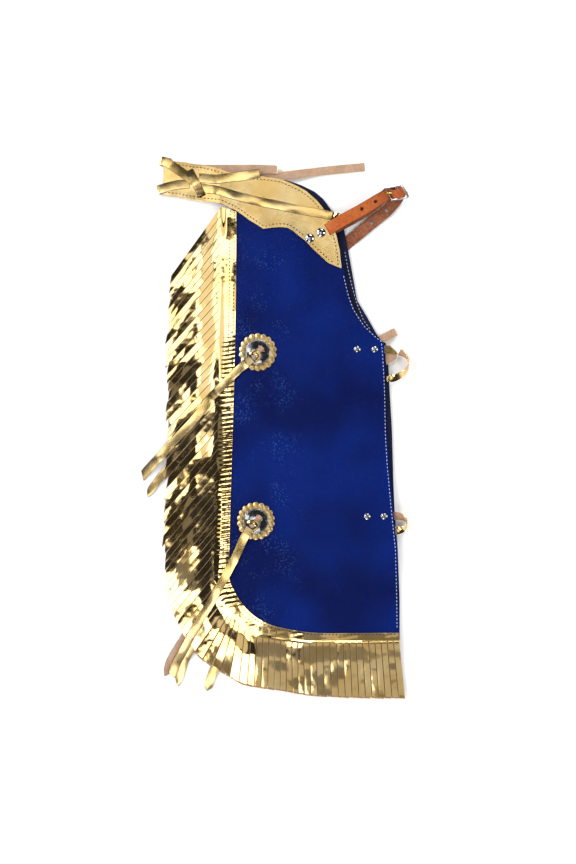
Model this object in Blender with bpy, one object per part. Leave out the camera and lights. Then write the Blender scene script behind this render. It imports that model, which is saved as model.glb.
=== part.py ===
"""Fringed leather rodeo chaps, folded in half at the laced centre back and laid flat.

The upper leg lies on the lower one with its outside up. X runs from the laced back on the left to
the front strap on the right, Y from the hem up to the belt, Z up from the floor. Sizes in the tables
are millimetres, measured on the laid-out garment; the objects are in metres.
"""

from math import cos, pi, radians, sin

import bmesh
import bpy
import numpy as np
from mathutils import Vector

MM = 0.001

# Driving dimensions, in millimetres
LEG_WALL = 1.6            # chap leather
GOLD_WALL = 1.2           # foil-faced leather of yokes, belts' trim and fringe
STRAND_WALL = 1.1         # a fringe strand
LACE_WALL = 1.3           # lacing and concho strings
STRAP_WALL = 2.0          # buckle strap and chape
LEG_STRAP_WALL = 1.2      # straps that go round the leg
SEAM = 0.35               # gap between pieces that lie on each other or meet
CLEAR = 0.45              # gap under a piece that bends over others
STRAP_ROOM = 3.1          # how far the upper leg is lifted where straps or laces lie under it
WAVE_HEIGHT = 1.2         # soft waves of the upper leg
WAVE_X = 420.0
WAVE_Y = 380.0
LACE_WIDTH = 14.5
TAIL_WIDTH = 13.8
STRAP_WIDTH = 19.5
LEG_STRAP_WIDTH = 13.0
SLIT = 0.9                # open width between two strands
STRAND_REST = 3.4         # underside of the upper fringe's strands
STRAND_LIFT = 0.7         # how far a strand springs up, at most
STRAND_TWIST = 0.2
LOWER_STRAND_REST = 0.25
LOWER_OVERHANG = 3.0      # how far the lower fringe shows beyond the upper one
PANEL_STEP = 15.0         # longest step between two rows of a leg panel
PANEL_COLUMNS = 8
STRAP_HOLE = 5.3
STUD_RADIUS = 7.5
STUD_HEIGHT = 3.6
RIVET_RADIUS = 5.0
RIVET_HEIGHT = 2.4
DOME_RINGS = [30, 58, 80]   # degrees down from the top of a stud's or rivet's dome
ROSETTE_RADIUS = 30.4
ROSETTE_WALL = 1.4
SCALLOPS = 18
SCALLOP_DEPTH = 1.7
CONCHO_RADIUS = 19.8
CONCHO_HEIGHT = 4.6
CONCHO_WALL = 1.4
CONCHO_SLOT = (3.2, 13.0)
CONCHO_SLOT_OFFSET = 9.0
CONCHO_RINGS = [0.0, 0.35, 0.68, 0.9]   # rings of its dome, as shares of the radius
CONCHO_RIM = 0.5          # height of the dome's edge
CONCHO_FOOT = 2.4         # width of the flat rim beneath the dome
CONCHO_KNOT = [(8, 8, 3.2), (4.5, 4.5, 5.0), (0, 0, 6.0), (-4.5, -4.5, 5.2), (-8.4, -8.4, 3.6)]
CONCHO_KNOT_WIDTH = 11.0
CONCHO_KNOT_WALL = 1.4
BUCKLE_BAR = 3.6
BUCKLE_WALL = 2.6
TONGUE_WIDTH = 3.4
TONGUE_WALL = 1.8
TONGUE_ENDS = (-1.2, 10.0)   # its tip and its root along the buckle
TONGUE_TAPER = 0.8           # width near its tip, as a share of its width
TONGUE_ASIDE = 4.0           # how far it lies off the middle of the strap
MIDDLE = (-0.8, -0.2)     # middle of the laid-out garment, so that the origin is under it

# Heights worked out from the walls
LOWER_LEG = GOLD_WALL + SEAM
LOWER_TOP = LOWER_LEG + LEG_WALL
LEG_REST = LOWER_TOP + SEAM

# Edges of the leg panels from top to bottom: x, y
UPPER_LEFT = [(-60, 404), (-60, 358), (-74, 345), (-75, 172), (-77, 92), (-80, -4), (-83, -116),
              (-85, -196), (-85, -236), (-75, -266), (-57, -295), (-35, -314), (-8, -328),
              (19, -334), (39, -337), (69, -340)]
UPPER_RIGHT = [(-40, 404), (-14, 402), (8, 398), (24, 392), (39, 385), (51, 378), (68, 363),
               (76, 353), (88, 336), (99, 306), (108, 266), (120, 204), (128, 181), (149, 157),
               (175, 136), (176, 88), (177, 19), (183, -61), (189, -127), (196, -194),
               (198, -260), (199, -340)]
LOWER_RIGHT = [(13, 397), (24, 395), (44, 388), (64, 378), (78, 366), (92, 347), (111, 318),
               (116, 292), (121, 266), (132, 204), (148, 177), (165, 147), (178, 135), (182, 100),
               (184, 59), (188, -8), (190, -87), (192, -132), (197, -192), (200, -276),
               (200, -340)]
LOWER_LEFT = [(-60, 397), (-60, 358), (-74, 345)] + UPPER_LEFT[3:]

# The yoke from the belt to its tip at the front: top x, top y, lower x, lower y
YOKE = [(-88, 406, -88, 360), (-62, 404, -61, 347), (-40, 403, -40, 332), (-19, 402, -18, 318),
        (8, 398, -4, 320), (24, 392, 8, 321), (39, 385, 20, 320), (51, 378, 29, 315),
        (68, 363, 40, 306), (76, 353, 50, 298), (88, 336, 61, 286), (99, 306, 73, 275),
        (104, 284, 85, 264), (106, 265, 96, 259), (107, 257, 106, 255)]
LOWER_YOKE_ROWS = 10      # the lower yoke ends where the strap is let in under its leg

# The half belt from the lacing to its seam under the yoke: x, top y, lower y
BELT = [(-178, 428, 372), (-166, 427, 371), (-155, 426, 370), (-144, 425, 367), (-129, 422, 365),
        (-116, 421, 363), (-99, 417, 361), (-85, 413, 360), (-60.4, 405, 359)]

# The fringe from the belt round to the front of the hem: inner x, y of the stitched strip, root x, y
# of the slits, root height of the upper fringe, where the strip leaves the panel (0 to 1 across),
# tip x, y, and the number of strands up to the next row
FRINGE = [
    (-61, 346.2, -86, 354.3, 4.4, 0.62, -170, 238, 10),
    (-62, 204, -89, 204, 4.4, 0.62, -176, 107, 7),
    (-64, 100, -90, 100, 4.4, 0.62, -175, 9, 7),
    (-67, -4, -92, -4, 4.4, 0.62, -178, -103, 6),
    (-70, -100, -92, -100, 4.4, 0.62, -180, -207, 6),
    (-72, -186, -96, -186, 4.4, 0.62, -172, -276, 3),
    (-73, -236, -98, -236, 4.4, 0.62, -157, -312, 3),
    (-64, -262, -88, -284, 4.4, 0.62, -137, -346, 2),
    (-52, -281, -75, -300, 4.4, 0.62, -115, -370, 3),
    (-37, -297, -57, -314, 4.4, 0.62, -72, -398, 2),
    (-20, -308.5, -38, -333, 4.6, 0.62, -44, -411, 4),
    (5, -318.5, 0, -338, 5.0, 0.75, -1, -418, 6),
    (58, -327.5, 56, -342, 5.2, 0.90, 58, -427, 6),
    (120, -328.5, 120, -342, 5.2, 0.90, 124, -431, 8),
    (199, -328, 200, -342, 5.2, 0.90, 209, -432, 0),
]
FRINGE_SIDE_END = 6       # row where the side length meets the corner
FRINGE_CORNER_END = 11    # row where the corner meets the hem

# How the upper leg drapes over what lies under it: y, lift in parts of STRAP_ROOM
DRAPE = [(440, 1.0), (73, 1.0), (-7, 0.0), (-36, 0.0), (-109, 1.0), (-187, 1.0), (-268, 0.0),
         (-360, 0.0)]
BELT_FALL = (-175.0, -105.0)   # x over which the upper half belt comes down to the lower one

# Laces: x, y, what it lies on, height above that
LOOP_TOP = [(-129, 394, "leg", 1.7), (-142, 404, "leg", 1.7), (-155, 413, "leg", 0.5),
            (-165, 420, "leg", 0.0), (-172, 424.5, "leg", 0.0), (-176, 426, "leg", 0.0),
            (-179, 426.6, "leg", 0.0)]
LOOP_LOW = [(-136, 390, "leg", 0.0), (-155, 389, "leg", 0.0), (-169, 386, "leg", 0.0),
            (-179, 383, "leg", 0.2)]
END_SHORT = [(-121, 399.5, "leg", 0.0), (-108, 398.5, "leg", 0.0), (-98, 397.5, "leg", 0.3),
             (-91, 397.5, "gold", 0.0), (-78, 399, "gold", 0.0), (-52, 402, "gold", 0.0),
             (-24, 407, "gold", 0.0)]
END_LONG = [(-121, 384, "leg", 0.0), (-107, 382, "leg", 0.0), (-98, 380.8, "leg", 0.3),
            (-91, 379.5, "gold", 0.0), (-78, 376, "gold", 0.0), (-62, 371, "gold", 0.0),
            (-27, 362, "gold", 0.0), (4, 356, "gold", 0.0), (40, 348, "gold", 0.0),
            (76, 342, "gold", 0.0), (87, 339.6, "gold", 0.0), (93, 338.3, "gold", -0.4),
            (99, 336.9, "leg", -2.6), (106, 335, "leg", -3.2)]
TAIL_SHORT = [(-115, 414, "lower", 0.0), (-56, 414, "lower", 0.0), (-30, 414, "lower", 1.6),
              (4, 413, "lower", 1.7)]
TAIL_LONG = [(-19, 399, "lower", 0.0), (28, 405, "lower", 0.0), (44, 407, "floor", 2.2),
             (76, 411, "floor", 0.4), (144, 418, "floor", 0.0)]
KNOT_WIDTH = 13.0
KNOT_WALL = 1.5
KNOT = [(-137, 411.5, "leg", 3.9), (-135, 407.5, "leg", 4.6), (-132, 402, "leg", 5.2),
        (-126, 391, "leg", 5.4), (-120.5, 380, "leg", 4.2), (-117.5, 373.5, "leg", 2.0),
        (-116, 370, "leg", 0.0)]

# Concho strings from the concho or the hidden end to the tip: x, y, what it lies on, height above
STRING_A = [(-37, 111, "dome", 2.6), (-45, 103.5, "rosette", 0.2), (-52, 97.5, "rosette", -0.2),
            (-62, 89, "gold", 0.4), (-80, 71, "gold", 0.5), (-93, 57.5, "fringe", 3.4),
            (-105, 45, "fringe", 0.8), (-129, 13, "fringe", 0.0), (-160, -20, "fringe", 0.0),
            (-183, -45.5, "fringe", -0.2), (-195, -58, "floor", 3.4), (-212, -77, "floor", 0.6)]
STRING_C = [(-39, -160, "dome", 2.6), (-45, -169, "rosette", 0.2), (-51, -180, "rosette", 0.0),
            (-62, -205, "gold", 0.2), (-77, -234, "gold", 0.1), (-92, -260, "gold", 0.1),
            (-105, -284, "fringe", 0.3), (-120, -308, "fringe", 0.0),
            (-134, -333, "fringe", 0.0), (-146, -356, "floor", 4.4), (-158, -378, "floor", 2.8),
            (-165, -396, "floor", 2.4)]
STRING_B = [(-103, 11, "under_fringe", 0.0), (-120, -7, "under_fringe", 0.0),
            (-152, -42, "under_fringe", 0.0), (-181, -76.5, "under_fringe", 0.0),
            (-204, -107, "floor", 0.5)]
STRING_D = [(-103, -273, "under_fringe", 0.0), (-115, -292, "under_fringe", 0.0),
            (-136, -324, "under_fringe", 0.0), (-149, -343, "under_fringe", 0.0),
            (-155, -352, "floor", 1.1), (-168, -375, "floor", 0.2), (-173, -396, "floor", 0.1)]
STRING_E = [(-91, -285, "under_fringe", 0.0), (-101, -300, "under_fringe", 0.0),
            (-118, -328, "under_fringe", 0.0), (-134, -355, "under_fringe", 0.0),
            (-140, -366, "floor", 1.3), (-145, -376, "floor", 0.8), (-156, -412, "floor", 0.2)]
STRING_F = [(-77, -342, "under_fringe", 0.0), (-86, -364, "under_fringe", 0.0),
            (-98, -390, "floor", 1.2), (-109, -421, "floor", 0.1)]

# Buckle: middle of the tilted frame, its side along the strap and its side across it
BUCKLE_AT = np.array([195.0, 374.6, 22.0])
BUCKLE_ALONG = np.array([28.3, 4.0, 17.0])
BUCKLE_ACROSS = np.array([13.0, -20.0, -17.0])

# The strap from its square end on the yoke to the buckle: x, y, z, across angle, tilt, wall
STRAP_OUT = [(84, 316, 12.4, 119, 0, 2.0), (98, 325, 13.7, 119, 0, 2.0),
             (114, 334.5, 12.2, 119, 4, 2.0), (140, 349, 10.4, 119, 13, 2.0),
             (160, 361, 11.3, 120, 24, 2.0), (171.5, 368, 12.7, 122, 32, 2.0)]
# and back from the fold, flesh side up, to its end let in under the lower leg
STRAP_BACK = [(199.2, 373.6, 9.4, 151, 2, 2.0), (197.2, 369.6, 3.8, 149, -7, 2.0),
              (194.0, 364.4, 1.7, 144, -2, 2.0), (188, 357.3, 1.35, 136, 0, 2.0),
              (179, 347.5, 1.3, 129.5, 0, 2.0), (155, 328, 1.3, 129.5, 0, 2.0),
              (134, 310.5, 1.3, 129.5, 0, 2.0), (127, 304.8, 0.95, 129.5, 0, 1.6),
              (121, 300, 0.64, 129.5, 0, 1.14), (105, 286.7, 0.64, 129.5, 0, 1.14)]
# The chape from the studs, between the legs, until it runs beneath the strap: x, y, z, across
# angle, tilt, wall
CHAPE = [(52, 300, 4.55, 117, 0, 2.0), (98, 322, 4.55, 117, 0, 2.0),
         (116, 331, 4.6, 119, 1, 2.0)]
# beneath the strap: row of STRAP_OUT, how far the chape lies aside of it and below it
CHAPE_ASIDE = [(3, 5.0, 3.2), (4, 4.2, 2.8), (5, 2.6, 2.7)]
FOLD_AT = 24.5            # how far along the buckle the strap folds back
FOLD_RADIUS = 2.4
FOLD_TURN = 39.0          # how far the strap is turned in its own plane where it folds back
STRAP_HOLES = [(139, 350), (161, 362.3), (179, 347.5), (155, 328)]
STUDS = [(56, 303), (74, 312)]

# Leg straps
RIVETS = [(132, 125.5), (160, 125.5), (148, -142), (175, -141.5)]
TAB = [(169, 141, "lower", 0.0), (177, 145, "lower", 0.0), (194, 154, "floor", 1.6)]
FOLD_TOP = [(122, 119), (197, 119), (184, 132), (122, 132)]
FOLD_UNDER = [(197, 119), (194.6, 111), (179, 100.3), (177.4, 108), (177.4, 125), (184, 132)]
FOLD_EDGE = [(197, 119), (184, 132), (182.6, 131), (195.2, 118.4)]
# x, y, z, across angle, tilt, wall
UPPER_LOOP = [(199.6, 121.5, 5.2, 80, 32, 1.2), (207.5, 117, 6.4, 50, 60, 1.2),
              (213, 109.5, 7.2, 22, 84, 1.2), (214.3, 101.5, 7.3, -4, 96, 1.2),
              (211, 93, 6.9, -34, 112, 1.2), (203, 85.5, 6.2, -56, 130, 1.2),
              (193.5, 80.5, 6.4, -76, 145, 1.2), (185, 78.8, 6.2, -84, 162, 1.2),
              (179, 78.6, 5.6, -88, 172, 1.2)]
LOWER_LOOP_START = [(140, -141, 4.4, 90, 0, 1.2), (184, -141, 4.4, 90, 0, 1.2)]
LOWER_LOOP = [(193, -141, 4.8, 88, 8, 1.2), (201, -142, 6.0, 74, 32, 1.2),
              (208, -146, 7.0, 40, 66, 1.2), (211, -152, 7.2, 0, 90, 1.2),
              (209, -158.5, 6.8, -40, 114, 1.2), (202.5, -163, 5.6, -74, 148, 1.2),
              (195, -164.5, 4.8, -88, 172, 1.2)]
LOWER_LOOP_END = [(180, -165, 4.4, -90, 180, 1.2)]
CONCHOS = {"upper": (-27.0, 121.0), "lower": (-30.0, -149.0)}


def clear_scene():
    for thing in list(bpy.data.objects):
        bpy.data.objects.remove(thing, do_unlink=True)


def finish(name, colour, roughness, metallic):
    """A Principled material with a plain colour, given as linear red, green and blue."""
    material = bpy.data.materials.new(name)
    material.use_nodes = True
    shader = material.node_tree.nodes["Principled BSDF"]
    shader.inputs["Base Color"].default_value = (*colour, 1.0)
    shader.inputs["Roughness"].default_value = roughness
    shader.inputs["Metallic"].default_value = metallic
    material.diffuse_color = (*colour, 1.0)
    return material


def ease(t):
    """Smooth step from 0 to 1."""
    t = np.clip(t, 0.0, 1.0)
    return t * t * (3.0 - 2.0 * t)


def drape(x, y):
    """Height of the upper leg's underside: resting on the lower leg, lifted over straps, waved."""
    rows = np.array(DRAPE)[::-1]
    step = np.clip(np.searchsorted(rows[:, 0], y) - 1, 0, len(rows) - 2)
    part = (y - rows[step, 0]) / (rows[step + 1, 0] - rows[step, 0])
    lift = rows[step, 1] + (rows[step + 1, 1] - rows[step, 1]) * ease(part)
    wave = 0.5 * WAVE_HEIGHT * (1.0 + np.sin(2.0 * pi * (x / WAVE_X + y / WAVE_Y)))
    belt = ease((x - BELT_FALL[0]) / (BELT_FALL[1] - BELT_FALL[0]))
    return LEG_REST + (STRAP_ROOM * lift + wave) * belt


def leg_top(x, y):
    return drape(x, y) + LEG_WALL


def gold_top(x, y):
    return leg_top(x, y) + SEAM + GOLD_WALL


def rosette_top(x, y):
    return leg_top(x, y) + SEAM + ROSETTE_WALL


def concho_base(x, y):
    return rosette_top(x, y) + SEAM + CLEAR


LEVELS = {
    "leg": lambda x, y: leg_top(x, y) + CLEAR,
    "gold": lambda x, y: gold_top(x, y) + CLEAR,
    "rosette": lambda x, y: rosette_top(x, y) + CLEAR,
    "dome": lambda x, y: rosette_top(x, y) + SEAM + CLEAR,
    "lower": lambda x, y: LOWER_TOP + SEAM,
    "fringe": lambda x, y: STRAND_REST + STRAND_LIFT + STRAND_TWIST + STRAND_WALL + SEAM,
    "under_fringe": lambda x, y: LOWER_STRAND_REST + STRAND_WALL + SEAM,
    "floor": lambda x, y: 0.3,
}


def add_mesh(name, points, faces, material, smooth=False):
    """One object from points in millimetres, with its faces turned outwards."""
    mesh = bpy.data.meshes.new(name)
    shift = np.array([MIDDLE[0], MIDDLE[1], 0.0])
    mesh.from_pydata([tuple(p) for p in (np.asarray(points) - shift) * MM], [], faces)
    work = bmesh.new()
    work.from_mesh(mesh)
    bmesh.ops.recalc_face_normals(work, faces=work.faces)
    if sum(face.calc_area() * face.normal.dot(face.calc_center_median()) for face in work.faces) < 0:
        bmesh.ops.reverse_faces(work, faces=work.faces)
    work.to_mesh(mesh)
    work.free()
    mesh.materials.append(material)
    if smooth:
        mesh.shade_smooth()
        mesh.set_sharp_from_angle(angle=radians(35))
    thing = bpy.data.objects.new(name, mesh)
    bpy.context.collection.objects.link(thing)
    return thing


def slab(name, plan, under, wall, material):
    """A closed sheet of even wall over a grid of plan points, with its underside at the height
    that under(x, y) gives."""
    rows, columns = plan.shape[:2]
    x, y = plan[..., 0], plan[..., 1]
    low = np.stack([x, y, under(x, y)], axis=-1).reshape(-1, 3)
    points = np.concatenate([low, low + [0.0, 0.0, wall]])
    top = rows * columns

    def at(row, column, level=0):
        return level * top + row * columns + column

    faces = []
    for i in range(rows - 1):
        for j in range(columns - 1):
            ring = (at(i, j), at(i + 1, j), at(i + 1, j + 1), at(i, j + 1))
            faces.append(ring)
            faces.append(tuple(k + top for k in reversed(ring)))
    border = [at(i, 0) for i in range(rows)] + [at(rows - 1, j) for j in range(1, columns)]
    border += [at(i, columns - 1) for i in range(rows - 2, -1, -1)]
    border += [at(0, j) for j in range(columns - 2, 0, -1)]
    for here, after in zip(border, border[1:] + border[:1]):
        faces.append((after, here, here + top, after + top))
    return add_mesh(name, points, faces, material)


def between(first, second, steps):
    """A plan grid whose columns go evenly from one edge to the other."""
    across = np.linspace(0.0, 1.0, steps + 1)[None, :, None]
    first, second = np.asarray(first, float)[:, None], np.asarray(second, float)[:, None]
    return first + (second - first) * across


def panel_plan(left, right, columns):
    """Rows at each corner of either edge, and between them so that no step is too long."""
    left, right = np.array(left[::-1], float), np.array(right[::-1], float)
    corners = np.unique(np.concatenate([left[:, 1], right[:, 1]]))
    heights = [corners[0]]
    for below, above in zip(corners, corners[1:]):
        count = int(np.ceil((above - below) / PANEL_STEP))
        heights += list(below + (above - below) * np.arange(1, count + 1) / count)
    heights = np.array(heights)
    first = np.stack([np.interp(heights, left[:, 1], left[:, 0]), heights], axis=1)
    second = np.stack([np.interp(heights, right[:, 1], right[:, 0]), heights], axis=1)
    return between(first, second, columns)


def make_legs(blue):
    slab("leg_lower", panel_plan(LOWER_LEFT, LOWER_RIGHT, 1),
         lambda x, y: LOWER_LEG + 0.0 * x, LEG_WALL, blue)
    slab("leg_upper", panel_plan(UPPER_LEFT, UPPER_RIGHT, PANEL_COLUMNS), drape, LEG_WALL, blue)


def make_yokes(gold):
    yoke = np.array(YOKE, float)
    lower = yoke[:LOWER_YOKE_ROWS]
    slab("yoke_lower", between(lower[:, :2], lower[:, 2:], 1), lambda x, y: 0.0 * x,
         GOLD_WALL, gold)
    slab("yoke_upper", between(yoke[:, :2], yoke[:, 2:], 4),
         lambda x, y: leg_top(x, y) + SEAM, GOLD_WALL, gold)


def make_belts(gold):
    belt = np.array(BELT, float)
    plan = between(belt[:, [0, 1]], belt[:, [0, 2]], 3)
    slab("belt_lower", between(belt[:, [0, 1]], belt[:, [0, 2]], 1),
         lambda x, y: LOWER_LEG + 0.0 * x, LEG_WALL, gold)
    slab("belt_upper", plan, drape, LEG_WALL, gold)


def fringe_rows():
    """The fringe table, with the number of strands before each row in its last column."""
    rows = np.array(FRINGE, float)
    rows[:, -1] = np.concatenate([[0.0], np.cumsum(rows[:-1, -1])])
    return rows


def make_fringe(name, first, last, upper, chance, material):
    """One length of fringe: a stitched strip from the inner edge to the roots of the slits, with
    its strands, as one comb-shaped solid. A strand is a slab of four sides between two slits."""
    rows = fringe_rows()
    count = rows[:, -1]
    strands = int(count[last] - count[first]) - (0 if upper else 1)
    marks = np.linspace(count[first], count[last], strands + 1)

    def read(column, mark):
        return float(np.interp(mark, count, rows[:, column]))

    def line(mark):
        inner = np.array([read(0, mark), read(1, mark)])
        root = np.array([read(2, mark), read(3, mark)])
        tip = np.array([read(6, mark), read(7, mark)])
        if not upper:
            tip = tip + (tip - root) / np.linalg.norm(tip - root) * LOWER_OVERHANG
        leave = inner + (root - inner) * read(5, mark)
        if upper:
            strip = [(*inner, leg_top(*inner) + SEAM), (*leave, leg_top(*leave) + SEAM),
                     (*root, read(4, mark))]
        else:
            strip = [(*inner, 0.0), (*root, 0.0)]
        return strip, root, tip

    points, faces = [], []
    lines = []

    def add(x, y, z):
        points.append((x, y, z))
        return len(points) - 1

    for k in range(strands):
        pitch = np.linalg.norm(np.subtract(line(marks[k + 1])[1], line(marks[k])[1]))
        half = 0.5 * SLIT / pitch * (marks[k + 1] - marks[k])
        pair = []
        for mark in (marks[k] + half, marks[k + 1] - half):
            strip, root, tip = line(mark)
            low = [add(*p) for p in strip]
            high = [add(p[0], p[1], p[2] + GOLD_WALL) for p in strip]
            pair.append((low, high, root, tip))
        lines.append(pair)
        lift = chance.uniform(0.0, STRAND_LIFT) if upper else 0.0
        twist = chance.uniform(-STRAND_TWIST, STRAND_TWIST) if upper else 0.0
        rest = STRAND_REST if upper else LOWER_STRAND_REST
        stations = (0.14, 0.5, 1.0) if upper else (0.1, 1.0)
        previous = [pair[0][0][-1], pair[0][1][-1], pair[1][1][-1], pair[1][0][-1]]
        for part in stations:
            ring = []
            for (low, high, root, tip), side in zip(pair, (-1.0, 1.0)):
                at = root + (tip - root) * part
                height = rest + lift * ease(part) + side * twist * part
                ring.append((at, height))
            (left, left_z), (right, right_z) = ring
            now = [add(*left, left_z), add(*left, left_z + STRAND_WALL),
                   add(*right, right_z + STRAND_WALL), add(*right, right_z)]
            for a, b in ((0, 1), (1, 2), (2, 3), (3, 0)):
                faces.append((previous[a], previous[b], now[b], now[a]))
            previous = now
        faces.append(tuple(previous))

    flat = [edge for pair in lines for edge in pair]
    last_step = len(flat[0][0]) - 1
    for number, (one, two) in enumerate(zip(flat, flat[1:])):
        for step in range(last_step):
            for level in (0, 1):
                faces.append((one[level][step], one[level][step + 1],
                              two[level][step + 1], two[level][step]))
        faces.append((one[0][0], two[0][0], two[1][0], one[1][0]))
        if number % 2 == 1:
            faces.append((one[0][-1], two[0][-1], two[1][-1], one[1][-1]))
    for edge in (flat[0], flat[-1]):
        for step in range(last_step):
            faces.append((edge[0][step], edge[0][step + 1], edge[1][step + 1], edge[1][step]))
    return add_mesh(name, points, faces, material)


def make_all_fringe(gold, flesh):
    chance = np.random.default_rng(11)
    ends = {"side": (0, FRINGE_SIDE_END), "corner": (FRINGE_SIDE_END, FRINGE_CORNER_END),
            "hem": (FRINGE_CORNER_END, len(FRINGE) - 1)}
    for length, (first, last) in ends.items():
        make_fringe("fringe_lower_" + length, first, last, False, chance, flesh)
        make_fringe("fringe_upper_" + length, first, last, True, chance, gold)


def curve_through(rows, steps):
    """A Catmull-Rom curve through the rows of a table, column by column."""
    rows = np.asarray(rows, float)
    ends = np.concatenate([[2 * rows[0] - rows[1]], rows, [2 * rows[-1] - rows[-2]]])
    t = (np.arange(steps) / steps)[:, None]
    parts = []
    for a, b, c, d in zip(ends, ends[1:], ends[2:], ends[3:]):
        parts.append(0.5 * (2 * b + (c - a) * t + (2 * a - 5 * b + 4 * c - d) * t ** 2
                            + (3 * b - a - 3 * c + d) * t ** 3))
    return np.concatenate(parts + [rows[-1:]])


def across_vector(turn, tilt):
    """Unit vector at an angle in the plan, tilted out of the level."""
    turn, tilt = np.radians(turn), np.radians(tilt)
    return np.stack([np.cos(turn) * np.cos(tilt), np.sin(turn) * np.cos(tilt), np.sin(tilt)],
                    axis=-1)


def ribbon(name, rows, width, material, end_width=1.0):
    """A strap along x, y, z, with its width turned to the across angle and tilted out of the
    level by tilt, and its wall square to both the width and the path. Rows with a seventh
    value keep their section as it is turned, that much wider."""
    rows = np.asarray(rows, float)
    path = rows[:, :3]
    along = np.gradient(path, axis=0)
    along /= np.linalg.norm(along, axis=1, keepdims=True)
    across = across_vector(rows[:, 3], rows[:, 4])
    half = np.full(len(rows), 0.5 * width)
    if rows.shape[1] > 6:
        half *= rows[:, 6]
    else:
        across -= along * np.sum(across * along, axis=1, keepdims=True)
        across /= np.linalg.norm(across, axis=1, keepdims=True)
    normal = np.cross(along, across)
    normal /= np.linalg.norm(normal, axis=1, keepdims=True)
    half[-1] *= end_width
    wall = 0.5 * rows[:, 5:6]
    points = []
    for s, (u, v) in enumerate(((-1, -1), (1, -1), (1, 1), (-1, 1))):
        points.append(path + across * half[:, None] * u + normal * wall * v)
    points = np.stack(points, axis=1).reshape(-1, 3)
    faces = [(0, 1, 2, 3)]
    for i in range(len(rows) - 1):
        for a, b in ((0, 1), (1, 2), (2, 3), (3, 0)):
            faces.append((4 * i + a, 4 * i + b, 4 * i + 4 + b, 4 * i + 4 + a))
    last = 4 * (len(rows) - 1)
    faces.append((last + 3, last + 2, last + 1, last))
    return add_mesh(name, points, faces, material)


def laid_rows(table, wall, steps=2):
    """Rows of a ribbon that lies flat on what its table names: plan points on a smooth curve,
    heights in straight lines between the table's own, across angle square to the path."""
    plan = curve_through([row[:2] for row in table], steps)
    heights = [LEVELS[row[2]](row[0], row[1]) + row[3] + 0.5 * wall for row in table]
    z = np.interp(np.arange(len(plan)) / steps, np.arange(len(table)), heights)
    heading = np.degrees(np.arctan2(*np.gradient(plan, axis=0)[:, ::-1].T)) + 90.0
    return np.column_stack([plan, z, heading, 0.0 * z, 0.0 * z + wall])


def lace_round_belt(table, bulge, tuck):
    """A lace that comes from the knot over the belt, turns round its left edge and ends
    under the lower half belt."""
    rows = laid_rows(table, LACE_WALL)
    x, y, top, angle = rows[-1, :4]
    ahead = np.array([cos(radians(angle - 90.0)), sin(radians(angle - 90.0))])
    thin = LOWER_LEG - SEAM - 0.15
    low = LOWER_LEG - SEAM - 0.5 * thin
    middle = 0.5 * (top + low)
    radius = 0.5 * (top - low)
    turn = [((x, y) + ahead * (bulge + radius * sin(t)), middle + radius * cos(t), LACE_WALL)
            for t in np.radians([10, 50, 90, 130, 165])]
    back = [((x, y) - ahead * reach, low, thin) for reach in (2.0, tuck)]
    return np.concatenate([rows, [(*at, z, angle, 0.0, wall) for at, z, wall in turn + back]])


def make_laces(gold, flesh):
    ribbon("lace_loop_top", lace_round_belt(LOOP_TOP, 2.0, 13.0), LACE_WIDTH, gold)
    ribbon("lace_loop_low", lace_round_belt(LOOP_LOW, 6.0, 13.0), LACE_WIDTH, gold)
    ribbon("lace_knot", laid_rows(KNOT, KNOT_WALL), KNOT_WIDTH, gold)
    ribbon("lace_end_short", laid_rows(END_SHORT, LACE_WALL), LACE_WIDTH, gold)
    ribbon("lace_end_long", laid_rows(END_LONG, LACE_WALL), 14.0, gold)
    ribbon("lace_tail_short", laid_rows(TAIL_SHORT, LACE_WALL, 1), TAIL_WIDTH, flesh)
    ribbon("lace_tail_long", laid_rows(TAIL_LONG, LACE_WALL, 1), TAIL_WIDTH, flesh)


def lathe(name, centre, base, profile, segments, material):
    """A turned solid from rows of radius and height above the base, both ends on the axis."""
    cx, cy = centre
    points = [(cx, cy, base + profile[0][1])]
    for radius, height in profile[1:-1]:
        for k in range(segments):
            angle = 2.0 * pi * k / segments
            points.append((cx + radius * cos(angle), cy + radius * sin(angle), base + height))
    points.append((cx, cy, base + profile[-1][1]))
    last = len(points) - 1
    faces = []
    for k in range(segments):
        after = (k + 1) % segments
        faces.append((0, 1 + k, 1 + after))
        for ring in range(len(profile) - 3):
            a, b = 1 + ring * segments, 1 + (ring + 1) * segments
            faces.append((a + k, b + k, b + after, a + after))
        end = 1 + (len(profile) - 3) * segments
        faces.append((end + k, last, end + after))
    return add_mesh(name, points, faces, material, smooth=True)


def make_fasteners(steel):
    def dome(radius, height):
        return [(0, height)] + [(radius * sin(t), height * cos(t))
                                for t in np.radians(DOME_RINGS)] + [(radius, 0.0), (0, 0.0)]

    for number, at in enumerate(STUDS, 1):
        lathe(f"yoke_stud_{number}", at, gold_top(*at) + SEAM, dome(STUD_RADIUS, STUD_HEIGHT),
              14, steel)
    for number, at in enumerate(RIVETS, 1):
        lathe(f"strap_rivet_{number}", at, leg_top(*at) + SEAM,
              dome(RIVET_RADIUS, RIVET_HEIGHT), 12, steel)


def in_buckle(along, across, above):
    """A point given in the tilted buckle's own frame: from its corner nearest the strap's
    upper edge, along the strap, across it and above the frame's middle plane."""
    a = BUCKLE_ALONG / np.linalg.norm(BUCKLE_ALONG)
    b = BUCKLE_ACROSS / np.linalg.norm(BUCKLE_ACROSS)
    n = np.cross(b, a)
    corner = BUCKLE_AT - 0.5 * BUCKLE_ALONG - 0.5 * BUCKLE_ACROSS
    return corner + a * along + b * across + n * above


def buckle_angles():
    """Across angle and tilt of a strap that lies square in the buckle."""
    b = -BUCKLE_ACROSS / np.linalg.norm(BUCKLE_ACROSS)
    return np.degrees(np.arctan2(b[1], b[0])), np.degrees(np.arcsin(b[2]))


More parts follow.
